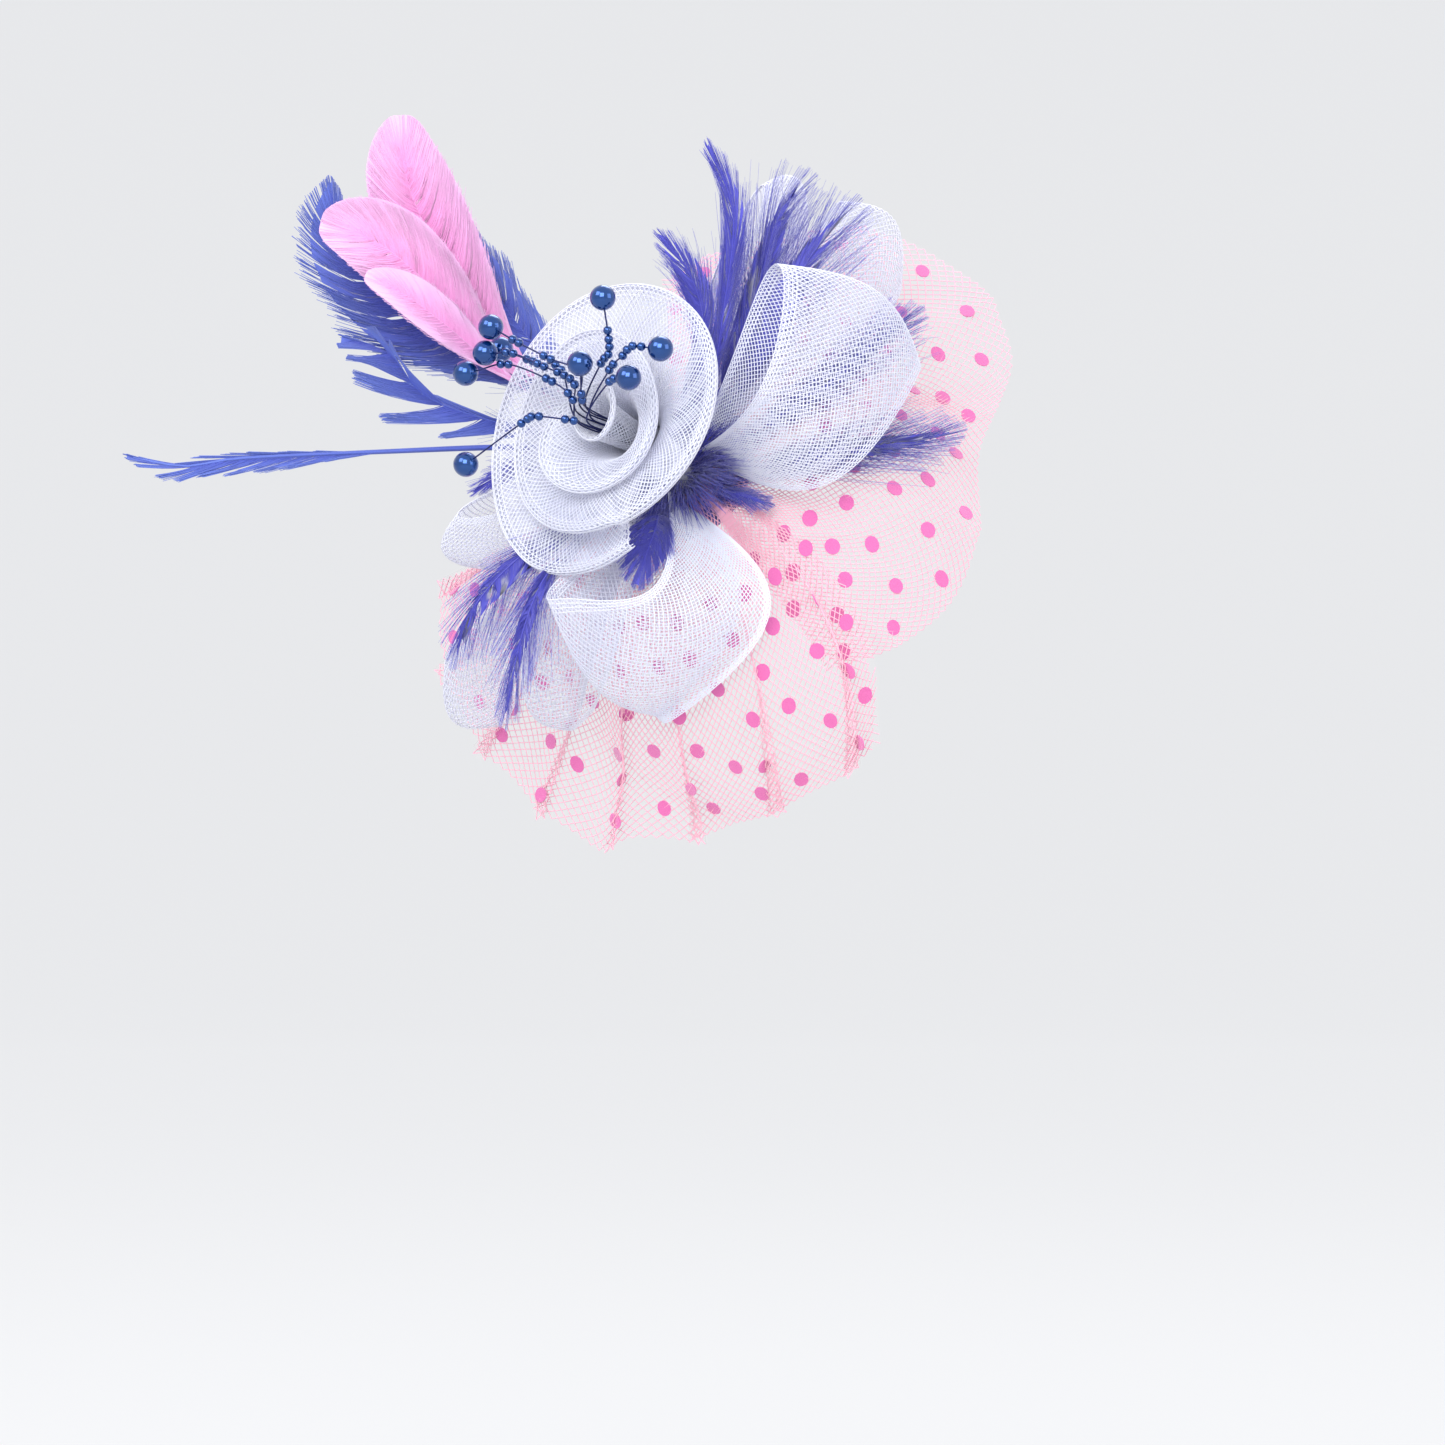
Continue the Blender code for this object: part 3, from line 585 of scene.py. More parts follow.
def loop_surface(root_angle, near_tip, far_tip, near_bow, far_bow, near_gap, far_gap, front_sag):
    """The strip of one loop as rows of points, from its back root round the outer fold to its front root."""
    first, last = LOWER_NET_ANGLES
    bed = ON_LOWER_NET if (root_angle - first) % 360 < last - first else ON_UPPER_NET
    near_root = base_point(root_angle, LOOP_ROOT_RADIUS, bed + LOOP_ROOT_HEIGHT)
    far_root = base_point(root_angle, LOOP_ROOT_RADIUS, bed + LOOP_ROOT_RAISE)
    near_tip, far_tip = np.array(near_tip, float), np.array(far_tip, float)
    reach = (near_tip + far_tip) / 2 - (near_root + far_root) / 2
    front = unit(np.cross(reach, far_tip - near_tip))
    if front[1] > 0:
        front = -front
    rows = []
    for turn in np.linspace(0, 2 * math.pi, LOOP_ROWS + 1):
        out = (1 - math.cos(turn)) / 2
        bend = (0, math.pi - LOOP_BEND, math.pi + LOOP_BEND, 2 * math.pi)
        side = np.interp(turn, bend, (-1, -1, 1, 1))
        spread = -math.sin(turn) * math.sqrt(out) / LOOP_SPREAD_PEAK
        root = side * LOOP_ROOT_GAP / 2 * (1 - out)
        bow = math.sin(math.pi * out)
        near = near_root + (near_tip - near_root) * out + np.array(near_bow) * bow
        far = far_root + (far_tip - far_root) * out + np.array(far_bow) * bow
        near = near + front * (root + near_gap / 2 * spread)
        far = far + front * (root + far_gap / 2 * spread)
        near = near + np.array(front_sag) * bow * (side + 1) / 2
        row = []
        for lane in np.linspace(0, 1, LOOP_LANES + 1):
            arch = math.sin(math.pi * lane)
            point = near * (1 - lane) + far * lane + front * LOOP_CUP * arch * spread
            point = point + unit(reach) * LOOP_CROWN * arch * out**2
            row.append(clear_of_net(point, bed + LOOP_LIFT * min(1, out / LOOP_LIFT_RUN)))
        rows.append(row)
    return np.array(rows) * MM


def edge_threads(grid, lanes, count):
    """Close threads along the strip, one on each lane."""
    return [spot(grid, np.linspace(0, 1, count), np.full(count, lane)) for lane in lanes]


crin_thread = finish(
    "white crin thread", light=(0.93, 0.94, 1.0), dark=(0.81, 0.83, 1.0),
    grain=45.0, roughness=0.35, Sheen_Weight=0.2,
)
# The loops' see-through film is painted shade: a faint lavender-grey sheet, darker than the threads, that
# shades the gaps between them.
crin_gap_shade_film = finish(
    "white crin gap shade", light=(0.7, 0.73, 1.0), dark=(0.55, 0.6, 0.97),
    grain=30.0, roughness=0.5, Alpha=0.035,
)
for node, *shape, meshes_along, meshes_across, flat_size in LOOPS:
    crin_grid = evened(loop_surface(*shape), LOOP_EVEN_LANE)
    crin_lines = woven(crin_grid, meshes_along, meshes_across, meshes_across)
    crin_lines += edge_threads(crin_grid, LOOP_SELVEDGES, LOOP_SELVEDGE_POINTS)
    threads = strand_piece(node + "_threads", crin_lines, CRIN_THREAD, THREAD_SIDES, crin_thread)
    sheet = film_piece(node + "_crin", crin_grid, crin_gap_shade_film)
    for piece in (threads, sheet):
        seated(piece, "white_crin", node)


# The rose: one long strip of the same crin, rolled up from its heart and opened like a flower, its
# upper edge turned over into a soft rim, and its gathered foot sewn to the middle of the base.
ROSE_TURNS = 3.4
ROSE_END_TURN = 2.82
ROSE_ROWS_PER_TURN = 96
ROSE_LANES = 36
ROSE_FOOT = 2.2
ROSE_FOOT_GROWTH = 3.9
ROSE_CORE = 3.4
ROSE_CORE_GROWTH = 4.42
ROSE_HEART_HEIGHT = 36.0
ROSE_RIM_HEIGHT = 22.0
ROSE_FALL = 1.7
ROSE_LIP = 3.5
ROSE_FIRST_LIP = 0.3
ROSE_BELLY = [(0.16, 0.44), (0.5, 0.83)]
ROSE_LIP_ROLL = [(0, 0), (0.5, 0.32), (0.95, 0.1), (1, -0.5), (0.62, -0.85)]
ROSE_SEAT = np.array((-13.5, -13.5, 12.5))
ROSE_AXIS = unit((-0.63, -0.72, 0.27))
ROSE_SIDE = unit(np.cross((0, 0, 1), ROSE_AXIS))
ROSE_UP = np.cross(ROSE_AXIS, ROSE_SIDE)
ROSE_WAVE = 2.0
ROSE_HEIGHT_WAVE = (1.7, 1.0)
ROSE_RIM_WAVE = (1.3, 2.0)
ROSE_INNER_WAVE = 1.5
ROSE_INNER_TURNS = 2.4
ROSE_RIMS = [
    # turns back from the strip's outer end, radius of the rim in millimetres
    (0, 44), (0.08, 50), (0.17, 54), (0.32, 51), (0.57, 47.5), (0.82, 46), (1.0, 41), (1.15, 37.5),
    (1.4, 34), (1.8, 27), (2.2, 20), (2.7, 12), (3.1, 6.5), (3.4, 4.8),
]
ROSE_RIM_STEPS = 400
# The two layers of the flat tube: the lane along which the rows lie evenly, how many meshes it has
# along and across, and the steps of a thread.
ROSE_OUTER_LAYER = (26, 270, 29, 28)
ROSE_INNER_LAYER = (20, 230, 24, 24)
ROSE_INNER_THREAD = 0.00018
ROSE_LAYER_STEP = 0.0009
ROSE_SELVEDGES = (0.88, 0.9, 0.92, 0.94, 0.96, 0.98, 1.0)
ROSE_SELVEDGE_POINTS = 360
ROSE_END_THREADS = (0.994, 0.997, 1.0)
ROSE_END_POINTS = 40


def rose_surface():
    """The rolled strip as rows of points, from its heart out, each from the foot up to the lip. The outer
    turns open wide, and the inner ones lie close round the bud."""
    rim_curve = through([(back, rim, 0) for back, rim in ROSE_RIMS], ROSE_RIM_STEPS)
    rows = []
    for i in range(round(ROSE_TURNS * ROSE_ROWS_PER_TURN) + 1):
        turns = i / ROSE_ROWS_PER_TURN
        share = turns / ROSE_TURNS
        rim = float(np.interp(ROSE_TURNS - turns, rim_curve[:, 0], rim_curve[:, 1]))
        core = ROSE_CORE + ROSE_CORE_GROWTH * share
        foot = ROSE_FOOT + ROSE_FOOT_GROWTH * share
        height = ROSE_RIM_HEIGHT + (ROSE_HEART_HEIGHT - ROSE_RIM_HEIGHT) * (1 - share**ROSE_FALL)
        angle = 2 * math.pi * (turns - ROSE_TURNS + ROSE_END_TURN)
        soft = ROSE_WAVE * min(1, turns) * min(1, 2 * (ROSE_TURNS - turns))
        soft *= ROSE_INNER_WAVE if turns < ROSE_INNER_TURNS else 1
        pitch, begin = ROSE_HEIGHT_WAVE
        height += soft * math.sin(pitch * angle + begin)
        pitch, begin = ROSE_RIM_WAVE
        rim += soft * math.sin(pitch * angle + begin)
        lip = ROSE_LIP * min(1, ROSE_FIRST_LIP + share)
        profile = [(core, 0)]
        profile += [(core + (rim - core) * r, height * h) for r, h in ROSE_BELLY]
        profile += [(rim + lip * r, height + lip * h) for r, h in ROSE_LIP_ROLL]
        outward = math.cos(angle) * ROSE_SIDE + math.sin(angle) * ROSE_UP
        foot_outward = unit(outward - (outward @ OUT) * OUT)
        row = [foot * foot_outward + ON_LOWER_NET * OUT]
        row += [ROSE_SEAT + r * outward + h * ROSE_AXIS for r, h in profile]
        rows.append(through(row, ROSE_LANES))
    return np.array(rows) * MM


even_lane, *meshes = ROSE_OUTER_LAYER
rose_grid = evened(rose_surface(), even_lane)
rose_lines = woven(rose_grid, *meshes)
rose_lines += edge_threads(rose_grid, ROSE_SELVEDGES, ROSE_SELVEDGE_POINTS)
for end in ROSE_END_THREADS:
    across = np.linspace(0, 1, ROSE_END_POINTS)
    rose_lines.append(spot(rose_grid, np.full(ROSE_END_POINTS, end), across))
rose_threads = strand_piece("crin_rose_threads", rose_lines, CRIN_THREAD, THREAD_SIDES, crin_thread)
even_lane, *meshes = ROSE_INNER_LAYER
inner_grid = evened(rose_surface(), even_lane)
inner_normals = np.cross(np.gradient(inner_grid, axis=0), np.gradient(inner_grid, axis=1))
inner_normals /= np.linalg.norm(inner_normals, axis=2, keepdims=True)
inner_grid = inner_grid + inner_normals * ROSE_LAYER_STEP
inner_threads = strand_piece(
    "crin_rose_inner_threads", woven(inner_grid, *meshes), ROSE_INNER_THREAD, THREAD_SIDES, crin_thread
)
# The rose's film is partly the milky veil of its close crin layers and partly painted shade: its lavender
# tones, darker than the threads, shade the mesh gaps and the deep folds.
rose_veil_and_shade_film = finish(
    "dense crin veil and painted shade", light=(0.82, 0.85, 1.0), dark=(0.64, 0.7, 1.0),
    grain=30.0, roughness=0.5, Alpha=0.14,
)
rose_veil_and_shade = film_piece("crin_rose_crin", rose_grid, rose_veil_and_shade_film)
for piece in (rose_threads, inner_threads, rose_veil_and_shade):
    seated(piece, "white_crin", "crin_rose")


# The feathers: three cupped pink ones with full soft vanes, blue ones behind them, and narrow blue
# hackles with loose pointed barbs round the rose, all with their quills sewn to the base.
FEATHER_ROOT = 14.5
FEATHER_RUN = 4.0
FEATHER_LIFT = 0.5
FEATHER_NET_GAP = 0.3
SHAFT_STEPS = 120
SHAFT_POINTS = 30
BARB_POINTS = 6
VANE_FACE = np.array((-0.2, -0.9, 0.3))
VANE_SAMPLES = 400
VANE_SHOULDER = 0.6
VANE_TURN = 0.3
VANE_PROBE = 0.03
ROUND_TIP = 0.55
POINTED_TIP = 0.9
SHAFT_SHORT = 0.5
SWEEP_LIMIT = 0.7
DOWN_REACH = 8.0
QUILL_RISE = 1.3
LOOP_RISE = 8.3
BEDS = {
    "felt": ON_FELT,
    "quills": ON_FELT + QUILL_RISE,
    "upper_net": ON_UPPER_NET,
    "upper_loops": ON_UPPER_NET + LOOP_RISE,
    "lower_net": ON_LOWER_NET,
    "lower_loops": ON_LOWER_NET + LOOP_RISE,
}
# The last columns: barbs on each side, how far a barb leans towards the tip in millimetres, how many
# bunches they gather into and how strongly, how loose the bunches are, how deep the vane is cupped, how
# many downy barbs stand under the vane on each side, and how much the barbs curl forwards.
FEATHERS = [
    # node, root angle, bed, shaft, left and right width, bare, widest, sweep,
    # barbs, lean, bunches, draw, loose, cup, down, curl
    ("pink_feather_upper", 114, "quills",
     [(-40, 10, 30), (-64, 13.5, 46), (-88, 4, 80), (-101, -4, 108), (-103, -8, 131)],
     15, 17, 0.4, 0.58, 0.03, 400, 20, 1, 0.0, 0.45, 4, 0, 1.0),
    ("pink_feather_front", 125, "quills",
     [(-42, 8, 27), (-66, 10.5, 43), (-93, -4, 71), (-112, -12, 86), (-131, -16, 92)],
     14, 15, 0.45, 0.6, 0.03, 360, 18, 1, 0.0, 0.45, 4, 0, 1.0),
    ("pink_feather_low", 136, "quills",
     [(-44, 7, 24), (-68, 9.2, 41), (-89, -8, 58), (-103, -16, 68), (-115, -20, 73)],
     7, 8, 0.5, 0.55, 0.03, 220, 12, 1, 0.0, 0.45, 2, 0, 1.0),
    ("blue_feather_backing_left", 131, "felt",
     [(-46, 14, 31), (-70, 17, 44), (-100, 13, 58), (-124, 8, 84), (-129, 3, 111)],
     16, 8, 0.32, 0.55, 0.09, 380, 14, 14, 0.12, 1.0, 2, 60, 1.0),
    ("blue_feather_backing_right", 114, "felt",
     [(-40, 15, 34), (-62, 19, 58), (-76, 19, 80), (-84, 17, 98)],
     7, 9, 0.35, 0.45, 0.09, 260, 11, 11, 0.12, 1.0, 1, 60, 1.0),
    ("blue_feather_split", 144, "felt",
     [(-44, 12, 18), (-66, 16, 22), (-95, 9, 32), (-108, 3, 47), (-127, -4, 53)],
     14, 3, 0.38, 0.45, 0.14, 320, 10, 6, 0.8, 0.5, 1, 60, 0.3),
    ("blue_feather_long", 154, "felt",
     [(-40, 9, 12), (-66, 15, 14), (-110, 5, 12), (-160, -8, 9), (-180, -12, 6), (-202, -18, 10)],
     6, 1.5, 0.56, 0.42, 0.08, 180, 10, 9, 0.6, 0.8, 1, 0, 0.4),
    ("hackle_left", 164, "lower_loops",
     [(-40, 5, 11), (-62, 9, 7), (-80, 8, -4)],
     4, 5, 0.4, 0.4, 0.1, 130, 12, 10, 0.45, 2.0, 0, 50, 1.0),
    ("hackle_lower_left", -166, "lower_loops",
     [(-36, -18, -12), (-60, -16, -26), (-78, -14, -46), (-85, -12, -67)],
     12, 6, 0.35, 0.4, 0.16, 110, 20, 13, 0.55, 3.0, 0, 50, 1.0),
    ("hackle_down", -145, "lower_loops",
     [(-34, -22, -14), (-50, -28, -32), (-59, -34, -54), (-66, -30, -88)],
     6, 6, 0.45, 0.4, 0.14, 100, 18, 12, 0.55, 2.8, 0, 50, 1.0),
    ("hackle_mouth", -104, "lower_loops",
     [(-12, -30, -16), (-16, -36, -28), (-19, -40, -39)],
     9, 10, 0.25, 0.45, 0.1, 260, 13, 8, 0.35, 1.2, 1, 160, 1.0),
    ("hackle_small_right", -28, "lower_net",
     [(12, -17, -3), (22, -24, -6), (30, -26, -9)],
     3, 4, 0.3, 0.4, 0.12, 150, 8, 9, 0.35, 2.0, 0, 260, 1.0),
    ("hackle_right", -5, "upper_net",
     [(24, -18, 4), (50, -18, 10), (76, -12, 14), (99, -8, 20)],
     10, 8, 0.2, 0.45, 0.16, 220, 22, 15, 0.5, 2.8, 0, 160, 1.0),
    ("hackle_far_right", 10, "upper_net",
     [(24, -6, 16), (46, 0, 34), (66, 6, 51), (84, 14, 65)],
     8, 9, 0.25, 0.45, 0.16, 220, 22, 15, 0.5, 3.0, 0, 160, 1.0),
    ("hackle_upper_right", 44, "upper_loops",
     [(18, -18, 34), (34, -17, 66), (48, -12, 88), (61, -10, 103)],
     12, 12, 0.25, 0.5, 0.18, 150, 25, 14, 0.55, 3.2, 0, 80, 1.0),
    ("hackle_top_right", 68, "upper_loops",
     [(12, -12, 36), (24, -10, 70), (32, -9, 96), (44, -8, 112)],
     10, 11, 0.25, 0.5, 0.18, 150, 25, 14, 0.55, 3.2, 0, 80, 1.0),
    ("hackle_top", 82, "upper_loops",
     [(6, -16.5, 30), (12, -18, 62), (15, -20, 96), (5, -22, 122)],
     4, 5, 0.3, 0.45, 0.14, 200, 20, 12, 0.4, 1.8, 0, 130, 1.0),
    ("hackle_top_left", 101, "upper_loops",
     [(-1, -8, 28), (5, -8, 52), (0, -8, 74), (-13, -8, 91)],
     6, 6, 0.3, 0.5, 0.12, 190, 16, 10, 0.4, 1.8, 0, 100, 1.0),
]
# How barbs and their bunches differ at random, most of it more so in a looser feather.
BARB_DRIFT = 0.4
BUNCH_MIDDLE = (0.25, 0.75)
BUNCH_WIDTH_SWAY = 0.07
BARB_WIDTH_SWAY = 0.09
WIDTH_LIMITS = (0.3, 1.6)
BARB_LAG = 0.75
BARB_LAG_SWAY = 0.1
BUNCH_AHEAD_SWAY = 0.6
BUNCH_LIFT_SWAY = 0.35
BARB_LIFT_SWAY = 0.3
STRAY_FROM = 1.5
STRAY_SHARE = 0.04
STRAY_LENGTH = (1.2, 1.9)
DOWN_LENGTH = (0.2, 0.8)
DOWN_LAG = (0.4, 1.1)
DOWN_PLACES = (-0.9, 0.1)
# Where barbs leave the shaft, and how they curl outwards and forwards.
LEAST_PLACE = 0.05
LEAST_ROOT = 0.04
LEAST_WIDTH = 0.1
BARE_LIMIT = 0.85
ROOT_SHORT = 0.002
STEM_EASE = 1.1
CURL_OUT = 0.15
CURL_AHEAD = 0.5
BARB_FOOT_SHARE = 0.85
DOWN_SHARES = (0.55, 0.2)
# The web follows every third barb, in a bunch that has enough of them.
WEB_PITCH = 3
WEB_FEWEST = 5


def vane_shape(widest, tip):
    """How wide a vane is, as a share of its full width, at even places from its foot to its tip."""
    places = np.linspace(0, 1, VANE_SAMPLES)
    swell = np.maximum(0, np.sin(np.pi * places ** (math.log(0.5) / math.log(widest))))
    return places, swell ** np.where(places < widest, VANE_SHOULDER, tip)


def feather_strands(root_angle, bed, shaft, left_width, right_width, bare, widest, sweep,
                    barbs, lean, bunches, draw, loose, cup, down, curl, foot_share, tip_share,
                    barb_share, rng):
    """The shaft and barbs of one feather as lines of points with their thicknesses, and for its web the
    barbs of each bunch as they would lie if none was loose."""
    level = BEDS[bed] + FEATHER_LIFT
    start = base_point(root_angle, FEATHER_ROOT, level)
    run = base_point(root_angle, FEATHER_ROOT + FEATHER_RUN, level)
    spine = through([start, run, *shaft], SHAFT_STEPS)
    if bed in ("upper_net", "lower_net"):
        spine = np.array([clear_of_net(point, level + FEATHER_NET_GAP) for point in spine])
    long = np.linalg.norm(np.diff(spine, axis=0), axis=1).sum()
    way = spine[-1] - spine[0]
    reach = np.linalg.norm(way)
    at_spine = np.linspace(0, 1, SHAFT_STEPS + 1)

    def on_spine(place):
        return np.stack([np.interp(place, at_spine, spine[:, k]) for k in range(3)], axis=-1)

    shaft_end = 1 - SHAFT_SHORT * lean / long
    places, swell = vane_shape(widest, ROUND_TIP if bed == "quills" else POINTED_TIP)
    lines = [on_spine(np.linspace(0, shaft_end, SHAFT_POINTS))]
    thicknesses = [np.linspace(foot_share, tip_share, SHAFT_POINTS)]
    climb = np.linspace(0, 1, BARB_POINTS)
    growth = np.stack(
        [climb ** (1 - CURL_OUT * curl), climb ** (1 + CURL_AHEAD * curl), climb**2], axis=1
    )
    vanes, tips = [], []
    for hand, full_width in ((1, left_width), (-1, right_width)):
        edge_run = np.hypot(np.diff(swell) * full_width, np.diff(places) * (1 - bare) * long)
        edge_run = np.concatenate([[0], np.cumsum(edge_run)]) / edge_run.sum()
        bunch_sway = rng.normal(0, 1, bunches + 1)
        bunch_lift = rng.normal(0, 1, bunches + 1)
        bunch_paths = [[] for _ in range(bunches + 1)]
        bunch_middle = (np.arange(bunches + 1) + rng.uniform(*BUNCH_MIDDLE, bunches + 1)) / bunches
        for barb in range(barbs + down):
            is_down = barb >= barbs
            share = min(1, max(0, (barb + rng.uniform(-BARB_DRIFT, BARB_DRIFT)) / barbs))
            bunch = min(bunches, math.floor(share * bunches))
            free_place = bare + (1 - bare) * float(np.interp(share, edge_run, places))
            share = share + (bunch_middle[bunch] - share) * draw
            vane_place = float(np.interp(share, edge_run, places))
            if is_down:
                lowest, highest = DOWN_PLACES
                vane_place = rng.uniform(lowest * bare / (1 - bare), highest)
                bunch = rng.integers(bunches)
            place = min(1, max(LEAST_PLACE, bare + (1 - bare) * vane_place))
            width = float(np.interp(vane_place, places, swell))
            stray = 1 + BUNCH_WIDTH_SWAY * loose * bunch_sway[bunch] + BARB_WIDTH_SWAY * loose * rng.normal()
            least, most = WIDTH_LIMITS
            side = width * full_width * min(most, max(least, stray)) + LEAST_WIDTH
            lag = lean * (BARB_LAG + BARB_LAG_SWAY * loose * rng.normal())
            calm_ahead = min(sweep * width, SWEEP_LIMIT * (1 - place)) * reach
            ahead = calm_ahead + BUNCH_AHEAD_SWAY * loose * bunch_sway[bunch] * width
            if loose > STRAY_FROM and rng.uniform() < STRAY_SHARE * loose:
                side *= rng.uniform(*STRAY_LENGTH)
            if is_down:
                side = rng.uniform(*DOWN_LENGTH) * max(full_width, DOWN_REACH)
                lag = lean * rng.uniform(*DOWN_LAG)
                root_place = max(LEAST_ROOT, place - lag / long)
            else:
                root_place = max(bare * BARE_LIMIT, free_place - lag / long)
            root_place = min(root_place, shaft_end - ROOT_SHORT)
            ahead_place, back_place = min(1, place + VANE_PROBE), max(0, place - VANE_PROBE)
            along = unit(on_spine(ahead_place) - on_spine(back_place))
            turned = min(1, place / VANE_TURN)
            face = unit((1 - turned) * OUT + turned * VANE_FACE)
            ways = np.stack([unit(np.cross(face, along)) * hand, along, face])
            stem = on_spine(root_place + (place - root_place) * climb**STEM_EASE)
            lift = cup * width + BUNCH_LIFT_SWAY * loose * bunch_lift[bunch]
            lift += BARB_LIFT_SWAY * loose * rng.normal()
            lines.append(stem + (growth * (side, ahead, lift)) @ ways)
            thin_out = DOWN_SHARES if is_down else (BARB_FOOT_SHARE, barb_share)
            thicknesses.append(np.linspace(*thin_out, BARB_POINTS))
            if not is_down:
                calm = (width * full_width, calm_ahead, cup * width)
                bunch_paths[bunch].append(stem + (growth * calm) @ ways)
        vanes += [paths[::WEB_PITCH] + paths[-1:] for paths in bunch_paths if len(paths) >= WEB_FEWEST]
        tips.append(max([paths[-1] for paths in bunch_paths if paths], key=lambda path: path[-1] @ way))
    vanes.append(tips)
    return [line * MM for line in lines], thicknesses, vanes


def vane_piece(name, vanes, web_points, coating):
    """The close web of the barbs: a thin skin over each bunch, for that many points out from the shaft."""
    points, faces, along = [], [], []
    for paths in vanes:
        faces += grid_faces(len(paths), web_points, len(points))
        points += (np.array(paths)[:, :web_points] * MM).reshape(-1, 3).tolist()
        along += np.linspace(0, (web_points - 1) / (BARB_POINTS - 1), web_points).tolist() * len(paths)
    piece = surface_object(name, points, faces, coating)
    along_data = piece.data.attributes.new("along", "FLOAT", "POINT").data
    along_data.foreach_set("value", np.array(along, np.float32))
    return piece


def barb_finish(name, root_tone, tip_tone, roughness):
    """Feather fibre: its colour goes from the shaft to the barb's tip, with soft bands across the vane."""
    made = finish(
        name, light=(1, 1, 1), dark=(0.78, 0.78, 0.78), grain=160.0, roughness=roughness, Sheen_Weight=0.5,
    )
    nodes, links = made.node_tree.nodes, made.node_tree.links
    shader = nodes["Principled BSDF"]
    bands = shader.inputs["Base Color"].links[0].from_socket
    along = nodes.new("ShaderNodeAttribute")
    along.attribute_name = "along"
    tone = nodes.new("ShaderNodeMix")
    tone.data_type = "RGBA"
    tone.inputs["A"].default_value = (*root_tone, 1)
    tone.inputs["B"].default_value = (*tip_tone, 1)
    links.new(along.outputs["Fac"], tone.inputs["Factor"])
    shade = nodes.new("ShaderNodeMix")
    shade.data_type = "RGBA"
    shade.blend_type = "MULTIPLY"
    shade.inputs["Factor"].default_value = 1.0
    links.new(tone.outputs["Result"], shade.inputs["A"])
    links.new(bands, shade.inputs["B"])
    links.new(shade.outputs["Result"], shader.inputs["Base Color"])
    return made


# The blue feather and hackle fibres grow lighter towards the barb tips: painted sheen, for the light that
# shines through the edges of their vanes.
feather_finishes = {
    "pink": barb_finish("pink feather", (1.0, 0.38, 0.79), (1.0, 0.6, 0.93), 0.6),
    "blue": barb_finish("blue feather", (0.04, 0.07, 0.48), (0.13, 0.2, 0.68), 0.5),
    "hackle": barb_finish("blue hackle", (0.03, 0.03, 0.42), (0.085, 0.085, 0.62), 0.5),
}
FIBRES = {
    # kind of feather: slot, points of a barb in the web, fibre radius, and the shares of that radius at
    # the shaft's foot, at its tip and at the barbs' tips
    "pink": ("pink_feather", 6, 0.00017, 3.0, 0.5, 0.6),
    "blue": ("blue_feather", 5, 0.00022, 2.4, 0.4, 0.5),
    "hackle": ("blue_feather", 3, 0.00013, 4.2, 1.0, 0.35),
}
LONG_SHAFT = (7.0, 2.2, 0.5)
FEATHER_SEED = 5
FULL_HACKLES = ("hackle_top", "hackle_top_left", "hackle_mouth", "hackle_left")
FULL_HACKLE_WEB = 5
feather_rng = np.random.default_rng(FEATHER_SEED)
for node, *shape in FEATHERS:
    kind = node.split("_")[0]
    slot, web_points, fibre, *shares = FIBRES[kind]
    if node == "blue_feather_long":
        shares = LONG_SHAFT
    if node in FULL_HACKLES:
        web_points = FULL_HACKLE_WEB
    lines, thicknesses, vanes = feather_strands(*shape, *shares, feather_rng)
    coating = feather_finishes[kind]
    seated(strand_piece(node + "_barbs", lines, fibre, THREAD_SIDES, coating, thicknesses), slot, node)
    seated(vane_piece(node + "_web", vanes, web_points, coating), slot, node)

# Curled blue down, glued round the middle of the base between the loops and under the rose.
TUFT_BARBS = 1300
TUFT_FIBRE = 0.00016
TUFT_STEPS = 5
TUFT_SHARES = (1.0, 0.3)
TUFT_ANGLES = (-185, 110)
TUFT_ROOT_RADII = (5, 12)
TUFT_ROOT_LEVELS = (7, 12)
TUFT_SWAY = 12
TUFT_TIP_RADII = (20, 33)
TUFT_TIP_LEVELS = (9, 19)
TUFT_BOWS = (1, 4)
down_lines = []
for _ in range(TUFT_BARBS):
    angle = feather_rng.uniform(*TUFT_ANGLES)
    start = base_point(angle, feather_rng.uniform(*TUFT_ROOT_RADII), feather_rng.uniform(*TUFT_ROOT_LEVELS))
    angle += feather_rng.normal(0, TUFT_SWAY)
    far = base_point(angle, feather_rng.uniform(*TUFT_TIP_RADII), feather_rng.uniform(*TUFT_TIP_LEVELS))
    middle = (start + far) / 2 + OUT * feather_rng.uniform(*TUFT_BOWS)
    down_lines.append(through([start, middle, far], TUFT_STEPS) * MM)
thin_out = [np.linspace(*TUFT_SHARES, TUFT_STEPS + 1)] * TUFT_BARBS
tuft = strand_piece(
    "hackle_root_down", down_lines, TUFT_FIBRE, THREAD_SIDES, feather_finishes["hackle"], thin_out
)
seated(tuft, "blue_feather", "hackle_small_right")


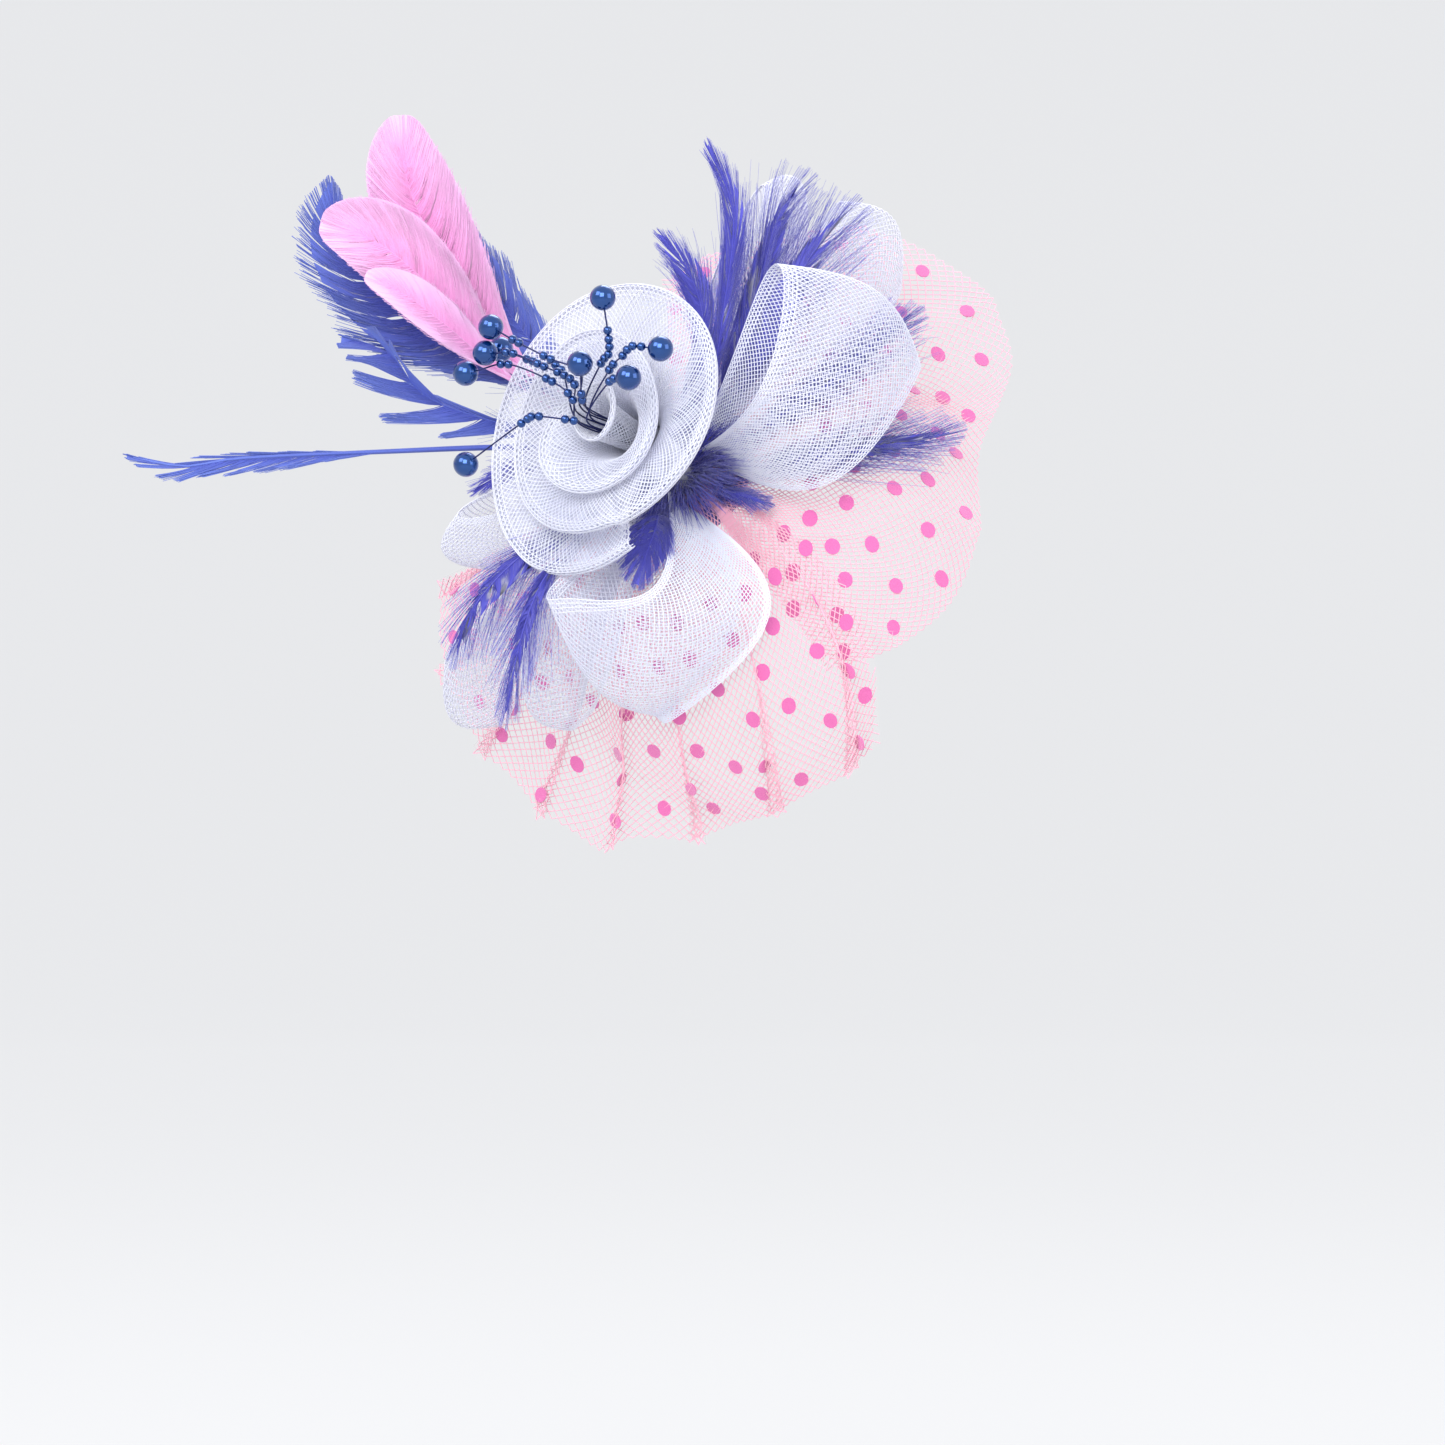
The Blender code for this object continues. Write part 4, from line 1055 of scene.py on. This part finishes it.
# The pearls and beaded wires: nine glossy dark blue pearls, each on the end of a thin wire that comes
# up out of the rose's heart with small beads threaded on it.
PEARL_RADIUS = 4.5
PEARL_ROUND = (40, 24)
BEAD_RADIUS = 1.6
BEAD_ROUND = (20, 12)
BEAD_PITCH = 3.1
WIRE_RADIUS = 0.0003
WIRE_SIDES = 8
WIRE_STEPS = 70
WIRE_RING = 2.1
WIRE_SPREAD = 1.55
WIRE_FOOT = 2.0
WIRE_THROAT = 38.0
WIRE_FIRST_ANGLE = -80.0
WIRE_IN_PEARL = 0.4
WIRES = [
    # place, pearl, beads
    (1, (-21, -72, 34), [(-28, -62, 33)]),
    (2, (-10, -72, 44), [(-28, -62, 37), (-23, -67, 42), (-20, -70, 45)]),
    (3, (-38, -62, 39.5), [(-37.5, -51, 27.5)]),
    (4, (-30, -66, 62), [(-31, -57, 39.5), (-28, -62, 43), (-28, -64, 48)]),
    (5, (-70, -34, 54), [(-38, -50, 37), (-49, -50, 42), (-60, -42, 48)]),
    (7, (-67, -20, 47), [(-45, -42, 38.5), (-55, -32, 42)]),
    (6, (-72, -32, 45), [(-40, -52, 32.5), (-43.5, -49.5, 36), (-51, -45, 39.5), (-62, -38, 44.5)]),
    (8, (-79, -30, 38), [(-41, -50, 28), (-48, -48, 34), (-64, -33, 41)]),
    (0, (-79, -28, 6), [(-41, -47.5, 20.5), (-53, -46, 22), (-57, -44, 21)]),
]

beads, given, result, identifiers = start_tree("threaded beads", "Beads", [
    # input, kind of socket, least value
    ("Places", "Geometry", None),
    ("Bead radius", "Float", 0.0),
    ("Segments", "Int", 3),
    ("Rings", "Int", 3),
    ("Finish", "Material", None),
])
bead_radius, bead_segments, bead_rings, bead_finish = identifiers[1:]
ball = beads.nodes.new("GeometryNodeMeshUVSphere")
smooth = beads.nodes.new("GeometryNodeSetShadeSmooth")
string = beads.nodes.new("GeometryNodeInstanceOnPoints")
wire_up = beads.links.new
wire_up(given.outputs["Bead radius"], ball.inputs["Radius"])
wire_up(given.outputs["Segments"], ball.inputs["Segments"])
wire_up(given.outputs["Rings"], ball.inputs["Rings"])
wire_up(ball.outputs["Mesh"], smooth.inputs["Geometry"])
wire_up(smooth.outputs["Geometry"], string.inputs["Instance"])
wire_up(given.outputs["Places"], string.inputs["Points"])
end_tree(beads, given, result, string.outputs["Instances"])

pearl_finish = finish(
    "blue pearl", light=(0.0, 0.07, 0.31), dark=(0.0, 0.035, 0.18),
    grain=80.0, roughness=0.16, Metallic=0.8, Coat_Weight=1.0,
)
wire_finish = finish(
    "navy wire", light=(0.02, 0.03, 0.15), dark=(0.01, 0.015, 0.09),
    grain=300.0, roughness=0.4, Metallic=0.6,
)


def bead_piece(name, places, radius, segments, rings):
    """Smooth round beads of one size, threaded at these places in millimetres."""
    mesh = bpy.data.meshes.new(name + "_places")
    mesh.from_pydata([tuple(np.array(place) * MM) for place in places], [], [])
    settings = {bead_radius: radius * MM, bead_segments: segments, bead_rings: rings}
    return grown(name, mesh, beads, {**settings, bead_finish: pearl_finish})


for number, (place, pearl, small) in enumerate(WIRES, 1):
    turn = math.radians(WIRE_FIRST_ANGLE) + 2 * math.pi * place / len(WIRES)
    ring_step = WIRE_RING * (math.cos(turn) * ROSE_SIDE + math.sin(turn) * ROSE_UP)
    foot = ROSE_SEAT + WIRE_FOOT * ROSE_AXIS + ring_step
    throat = ROSE_SEAT + WIRE_THROAT * ROSE_AXIS + ring_step * WIRE_SPREAD
    pearl, last = np.array(pearl, float), np.array(small[-1], float)
    end = pearl - unit(pearl - last) * (PEARL_RADIUS - WIRE_IN_PEARL)
    route = through([foot, (foot + throat) / 2, throat, *small, end], WIRE_STEPS)
    wire = strand_piece(f"bead_wire_{number}_wire", [route * MM], WIRE_RADIUS, WIRE_SIDES, wire_finish)
    run = np.concatenate([[0], np.cumsum(np.linalg.norm(np.diff(route, axis=0), axis=1))])
    threaded = []
    for bead in small:
        at = run[np.argmin(np.linalg.norm(route - np.array(bead), axis=1))]
        threaded += [at, min(at + BEAD_PITCH, run[-1] - BEAD_RADIUS)]
    strung = np.stack([np.interp(threaded, run, route[:, k]) for k in range(3)], axis=1)
    seed_beads = bead_piece(f"bead_wire_{number}_beads", strung, BEAD_RADIUS, *BEAD_ROUND)
    for piece in (wire, seed_beads):
        seated(piece, "blue_wire", f"bead_wire_{number}")
    ball_piece = bead_piece(f"pearl_{number}_ball", [pearl], PEARL_RADIUS, *PEARL_ROUND)
    seated(ball_piece, "blue_pearl", f"pearl_{number}")
